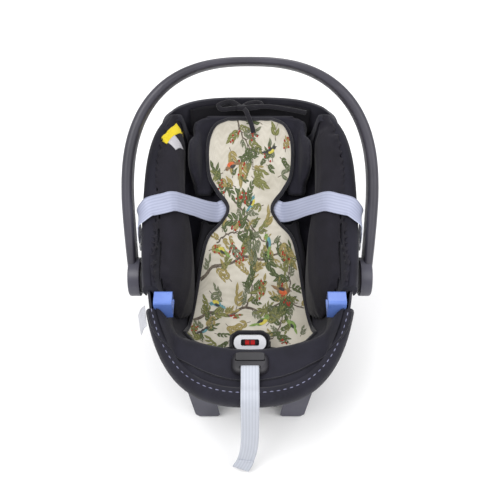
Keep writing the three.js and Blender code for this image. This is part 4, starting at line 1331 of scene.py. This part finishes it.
def make_handle():
    """The carrying handle: an arch with two arms, and a hub at each end."""
    arch = []
    for i in range(ARCH_STEPS + 1):
        outer = arch_point(ARCH_OUTER_HALF, ARCH_OUTER_RISE, i / ARCH_STEPS)
        inner = arch_point(ARCH_INNER_HALF, ARCH_INNER_RISE, i / ARCH_STEPS)
        arch.append(bar_ring(outer, inner))
    rings = arm_rings(1)[::-1] + arch + arm_rings(-1)
    bar = loft("handle", rings, HANDLE_LOOK, sharp_angle=HANDLE_SHARP_ANGLE)
    for side in (-1, 1):
        for near, far in ((13.7, 26), (0.01, 26.5)):
            hole = lathe("hole", [(186, near), (186, far), (216, far), (216, near)], HUB_LOOK, side)
            cut_with(bar, hole, HANDLE_SHARP_ANGLE)
    hubs = [lathe("hub", HUB_PROFILE, HUB_LOOK, side, 96, HANDLE_SHARP_ANGLE, True) for side in (-1, 1)]
    join_pieces(bar, *hubs)
    place_piece(bar, "handle", "handle", "handle_bar")


# ---- Harness ----

STRAP_SLOPE = 0.35
STRAP_WIDTH = 37
ADJUSTER_STRAP_WIDTH = 29
CROTCH_STRAP_WIDTH = 36
WEBBING_THICKNESS = 1.6


def taut(points, near, far):
    """A strap under tension: from near to far off the middle it lies on the upper hull of its points."""
    span = [i for i, point in enumerate(points) if near < abs(point[0]) < far]
    hull = []
    for i in span:
        while len(hull) > 1:
            a, b = points[hull[-2]], points[hull[-1]]
            share = (abs(b[0]) - abs(a[0])) / (abs(points[i][0]) - abs(a[0]))
            if b[2] > mix(a[2], points[i][2], share):
                break
            hull.pop()
        hull.append(i)
    line = list(points)
    for start, end in zip(hull, hull[1:]):
        a, b = points[start], points[end]
        for i in range(start + 1, end):
            share = (abs(points[i][0]) - abs(a[0])) / (abs(b[0]) - abs(a[0]))
            line[i] = (points[i][0], points[i][1], mix(a[2], b[2], share))
    return line


def make_harness_strap(side, surface):
    """One shoulder strap, from under the liner over the wing to its tongue outside the rim."""
    crest = rim_height(30) + 4

    def over(x, y, z):
        tops = [drop_on(surface, side * x, y + dy) - STRAP_SLOPE * dy + 3.4 for dy in (-17, -9, 0, 9, 17)]
        return side * x, y, max(z, *tops)

    def lifted(point):
        x = abs(point[0])
        return over(x, point[1], point[2]) if 70 < x < 178 else point

    path = [
        back_point(side * 20, 213, -9), back_point(side * 46, 212, -8.8), back_point(side * 60, 207, -4),
        over(80, 94, 246), over(100, 84, 256), over(118, 74, 268), over(134, 65, 278), over(148, 56, 284),
        over(162, 48, 290), over(176, 40, crest), (side * 190, 30, crest - 6),
        (side * 192.5, 27, crest - 22), (side * 192.5, 22, crest - 48),
    ]
    count = 90
    line = taut([lifted(point) for point in stations(path, count)], 70, 186)
    slopes = [mix(math.tan(BACK_ANGLE), STRAP_SLOPE, smooth(0.12, 0.4, i / count)) for i in range(count + 1)]
    axes = [(0, 1, slope) for slope in slopes]
    hand = "left" if side < 0 else "right"
    strap = ribbon("harness_" + hand, line, axes, STRAP_WIDTH, WEBBING_THICKNESS, STRAP_LOOK, across=14)
    place_piece(strap, "root", "webbing", "harness_strap_" + hand)


ADJUSTER_PATH = [
    (0, -220.5, 208), (0, -221, 217), (0, -230, 218), (0, -248, 213), (0, -271, 216), (0, -284, 206),
    (0, -287.5, 180), (0, -287, 120), (-2, -288, 70), (-8, -290, 32), (-16, -295, 14),
]


def make_adjuster_strap(surface):
    """The strap that tightens the harness: over the rim and down in front of the shell."""
    line = []
    for x, y, z in stations(ADJUSTER_PATH, 90):
        if y > -283 and z > 200:
            z = max(z, drop_on(surface, x, y) + 1.4)
        line.append((x, y, z))
    axes = [(1, 0, 0)] * len(line)
    look, width = ADJUSTER_STRAP_LOOK, ADJUSTER_STRAP_WIDTH
    strap = ribbon("adjuster_strap_tail", line, axes, width, WEBBING_THICKNESS, look, across=12)
    folded = [(x, y - 1.3, z) for x, y, z in line[-9:]]
    join_pieces(strap, ribbon("hem", folded, axes[-9:], 29.4, 1.4, look, across=12))
    place_piece(strap, "root", "webbing", "adjuster_strap")


def make_adjuster_plate():
    """The plate round the harness adjuster: a low dome with a window and a slot for the strap."""
    rings = [
        [(x, y - 209, z) for x, y in rounded_rectangle(60 - 2 * inset, 42 - 2 * inset, 15 - inset * 0.6)]
        for inset, z in ((0, SHELF_Z + 1), (0.4, SHELF_Z + 4), (2.2, SHELF_Z + 7.6), (6, SHELF_Z + 10))
    ]
    plate = loft("adjuster_plate", rings, BEZEL_LOOK)
    cut_with(plate, box_mesh("slot", (-16.5, -223, SHELF_Z - 2), (16.5, -218, SHELF_Z + 20)))
    cut_with(plate, box_mesh("window", (-23.6, -208.6, SHELF_Z + 3), (23.6, -193.4, SHELF_Z + 20)))
    place_piece(plate, "root", "bezel", "adjuster_bezel")


def make_crotch_strap():
    line = stations([(0, -104, 62), (0, -104, 92), (0, -110, 118), (0, -113.5, 131)], 30)
    axes = [(1, 0, 0)] * len(line)
    strap = ribbon("crotch_webbing", line, axes, CROTCH_STRAP_WIDTH, 2, CROTCH_STRAP_LOOK, across=12)
    place_piece(strap, "root", "webbing", "crotch_strap")


BUCKLE_MIDDLE = (0, -140, 165)
BUCKLE_TURN = math.radians(44)


def on_buckle(x, y, z):
    """From the buckle's own face, z out of it, to the drawing frame."""
    c, s = math.cos(BUCKLE_TURN), math.sin(BUCKLE_TURN)
    return x, BUCKLE_MIDDLE[1] + y * c - z * s, BUCKLE_MIDDLE[2] + y * s + z * c


def make_crotch_pad():
    """The soft sleeve round the buckle, a padded ring with a rolled edge."""
    rings = []
    for i in range(20):
        turn = 2 * math.pi * i / 20
        bulge = 4.0 + 3.4 * math.cos(turn)
        z = -18 + 12 * math.sin(turn) * (0.8 + 0.2 * abs(math.cos(turn)))
        outline = rounded_rectangle(49 + 2 * bulge, 21 + 2 * bulge, 8 + bulge * 0.8)
        rings.append([on_buckle(x, y, z) for x, y in outline])
    sleeve = loft("buckle_sleeve", rings, INSERT_LOOK, joined=True)
    place_piece(sleeve, "root", "insert", "crotch_pad")


# ---- Tie and tags ----


def make_tie():
    """The liner's tape tied in a small bow at the head end."""
    z = 362
    start = (-16, 248, z)
    paths = [
        ([start, (30, 252, z), (70, 246, z - 2), (104, 238, z - 4)], 4.2),
        (
            [
                start, (-30, 258, z + 4), (-42, 260, z + 4), (-58, 254, z + 1), (-52, 247, z - 3),
                (-34, 247, z - 1), start,
            ],
            4.2,
        ),
        ([start, (-8, 238, z + 1), (-2, 226, z - 7), (4, 214, z - 18), (6, 206, z - 25)], 4.4),
        ([start, (-4, 256, z + 3), (14, 262, z + 2), (22, 256, z), (10, 249, z - 1), start], 4.0),
    ]
    pieces = []
    for points, radius in paths:
        line = stations(points, 40)
        pieces.append(tube("tape", line, radius, RIBBON_LOOK, 10, flat=0.28, up=(0, -0.7, 0.7)))
    knot = [(-16 + 7.5 * math.cos(a), 248, z) for a in (math.pi, math.pi * 0.5, 0.0)]
    pieces.append(tube("knot", stations(knot, 12), 6.4, RIBBON_LOOK, 12, flat=0.8))
    bow = join_pieces(*pieces)
    bow.name = "liner_bow"
    place_piece(bow, "root", "ribbon", "liner_tie")


def make_care_tag():
    """The folded care label that hangs from the cover's edge, left blank."""
    foot_y, head_y = -150, -110
    middle_y = (foot_y + head_y) / 2
    edge_x = -rim_half_width(middle_y)
    slant = (rim_half_width(head_y) - rim_half_width(foot_y)) / (head_y - foot_y)
    edge_z = rim_height(middle_y) - 12
    path = [(edge_x - out, middle_y, edge_z - down) for out, down in ((1.6, 0), (8, 9), (14, 26))]
    line = stations(path, 16)
    tag = ribbon("tag", line, [(-slant, 1, 0)] * 17, head_y - foot_y, 0.9, TAG_LOOK, across=10)
    tag.name = "blank_tag"
    place_piece(tag, "root", "tag", "care_tag")


def make_wing_label(surface):
    """The sewn label on the left wing: a yellow band beside a pale panel, with nothing printed on it."""

    def sewn_on(u, v, lift):
        x = -161 + 12 * u + 26 * v
        y = 172 - 7.5 * u + 43 * v
        return x, y, drop_on(surface, x, y, 340) + lift

    def band(u, v, is_top):
        return sewn_on(u, v, 1.1 if is_top else -0.4)

    def panel(u, v, is_top):
        return sewn_on(mix(1, 2.2, u), mix(0.06, 0.5, v), 0.9 if is_top else -0.4)

    label = pad("wing_panel", band, 10, 28, LABEL_LOOK)
    join_pieces(label, pad("pale", panel, 10, 16, LABEL_WHITE_LOOK))
    place_piece(label, "root", "label", "wing_label")


# ---- Floor, light and camera ----


FLOOR_REACH = 6.0


def make_floor():
    floor = bpy.data.meshes.new("floor")
    corners = [(FLOOR_REACH * x, FLOOR_REACH * y, 0) for x, y in ((-1, -1), (1, -1), (1, 1), (-1, 1))]
    floor.from_pydata(corners, [], [(0, 1, 2, 3)])
    look = Look("floor_paper", (250, 250, 251), 0.9, Specular_IOR_Level=0.1)
    look.color(look.ramp(look.noise(3, 2.0), [(0.3, (249, 249, 250)), (0.7, (252, 252, 252))]))
    floor.materials.append(look.material)
    obj = bpy.data.objects.new("floor", floor)
    bpy.context.scene.collection.objects.link(obj)


def area_light(name, place, aim, size, power):
    light = bpy.data.lights.new(name, "AREA")
    light.shape = "DISK"
    light.size = size
    light.energy = power
    obj = bpy.data.objects.new(name, light)
    obj.location = place
    obj.rotation_euler = (Vector(aim) - Vector(place)).to_track_quat("-Z", "Y").to_euler()
    bpy.context.scene.collection.objects.link(obj)


CAMERA_PLACE = (0, -0.8530, 1.2002)
CAMERA_TARGET = (0, 0.0168, 0.2341)
CAMERA_LENS = 53.1


def make_camera():
    camera = bpy.data.cameras.new("camera")
    camera.sensor_width = 36
    camera.lens = CAMERA_LENS
    camera.clip_start = 0.05
    obj = bpy.data.objects.new("camera", camera)
    obj.location = CAMERA_PLACE
    obj.rotation_euler = (Vector(CAMERA_TARGET) - Vector(CAMERA_PLACE)).to_track_quat("-Z", "Y").to_euler()
    bpy.context.scene.collection.objects.link(obj)
    bpy.context.scene.camera = obj


def make_studio():
    make_floor()
    world = bpy.data.worlds.new("studio")
    world.use_nodes = True
    background = world.node_tree.nodes["Background"]
    background.inputs["Color"].default_value = (1, 1, 1, 1)
    background.inputs["Strength"].default_value = 0.85
    bpy.context.scene.world = world
    bpy.context.scene.view_settings.view_transform = "Standard"
    area_light("key", (-0.9, -0.7, 2.0), (0, 0, 0.2), 1.4, 26)
    area_light("fill", (1.2, -0.9, 1.6), (0, 0, 0.2), 1.6, 14)
    area_light("back", (0.2, 1.6, 1.8), (0, 0, 0.2), 1.5, 16)


# ---- Assembly ----

make_camera()
make_studio()

make_shell()
cover = make_cover()
cover_surface = surface_of(cover)
make_cover_trim(cover_surface)
wings = [make_wing(side, cover_surface) for side in (-1, 1)]
insert = make_insert(cover_surface)
make_pocket_lining()
make_headrest()
under_liner = surface_of(cover, insert)
liner = make_liner(under_liner)
liner_surface = surface_of(liner)
make_binding(liner_surface, under_liner)
make_print(liner_surface)
make_handle()
strap_surface = surface_of(cover, *wings)
for side in (-1, 1):
    make_harness_strap(side, strap_surface)
make_adjuster_strap(cover_surface)
make_adjuster_plate()
make_crotch_strap()
make_crotch_pad()
make_tie()
make_care_tag()
make_wing_label(surface_of(wings[0]))

# CAD nodes shown as they are: name, look and the width of the bevel.
PAIRED_NODES = [
    ("rocker", ROCKER_BOUNCE_LIT_LOOK, 2.0), ("handle_button", HUB_LOOK, 0.8), ("belt_guide", GUIDE_LOOK, 0.9),
    ("harness_tongue", WHITE_LOOK, 0.4), ("lock_ring", BLACK_LOOK, 0), ("lock_gear", BLACK_LOOK, 0),
    ("pivot_pin", STEEL_LOOK, 0), ("button_spring", STEEL_LOOK, 0), ("rocker_screw_foot", STEEL_LOOK, 0),
    ("rocker_screw_head", STEEL_LOOK, 0),
]
MIDDLE_NODES = [
    ("rear_belt_guide", GUIDE_LOOK, 0.9), ("energy_foam", FOAM_LOOK, 0), ("adjuster_button", BLACK_LOOK, 0.7),
    ("buckle_frame", WHITE_LOOK, 1.1), ("buckle_body", BLACK_LOOK, 0.8), ("buckle_button", RELEASE_LOOK, 0.6),
    ("headrest_plate", BLACK_LOOK, 0.8), ("headrest_lever", BLACK_LOOK, 0.8),
]
for name, look, bevel in PAIRED_NODES:
    for side in ("left", "right"):
        show_node(f"{name}_{side}", look, bevel)
for name, look, bevel in MIDDLE_NODES:
    show_node(name, look, bevel)
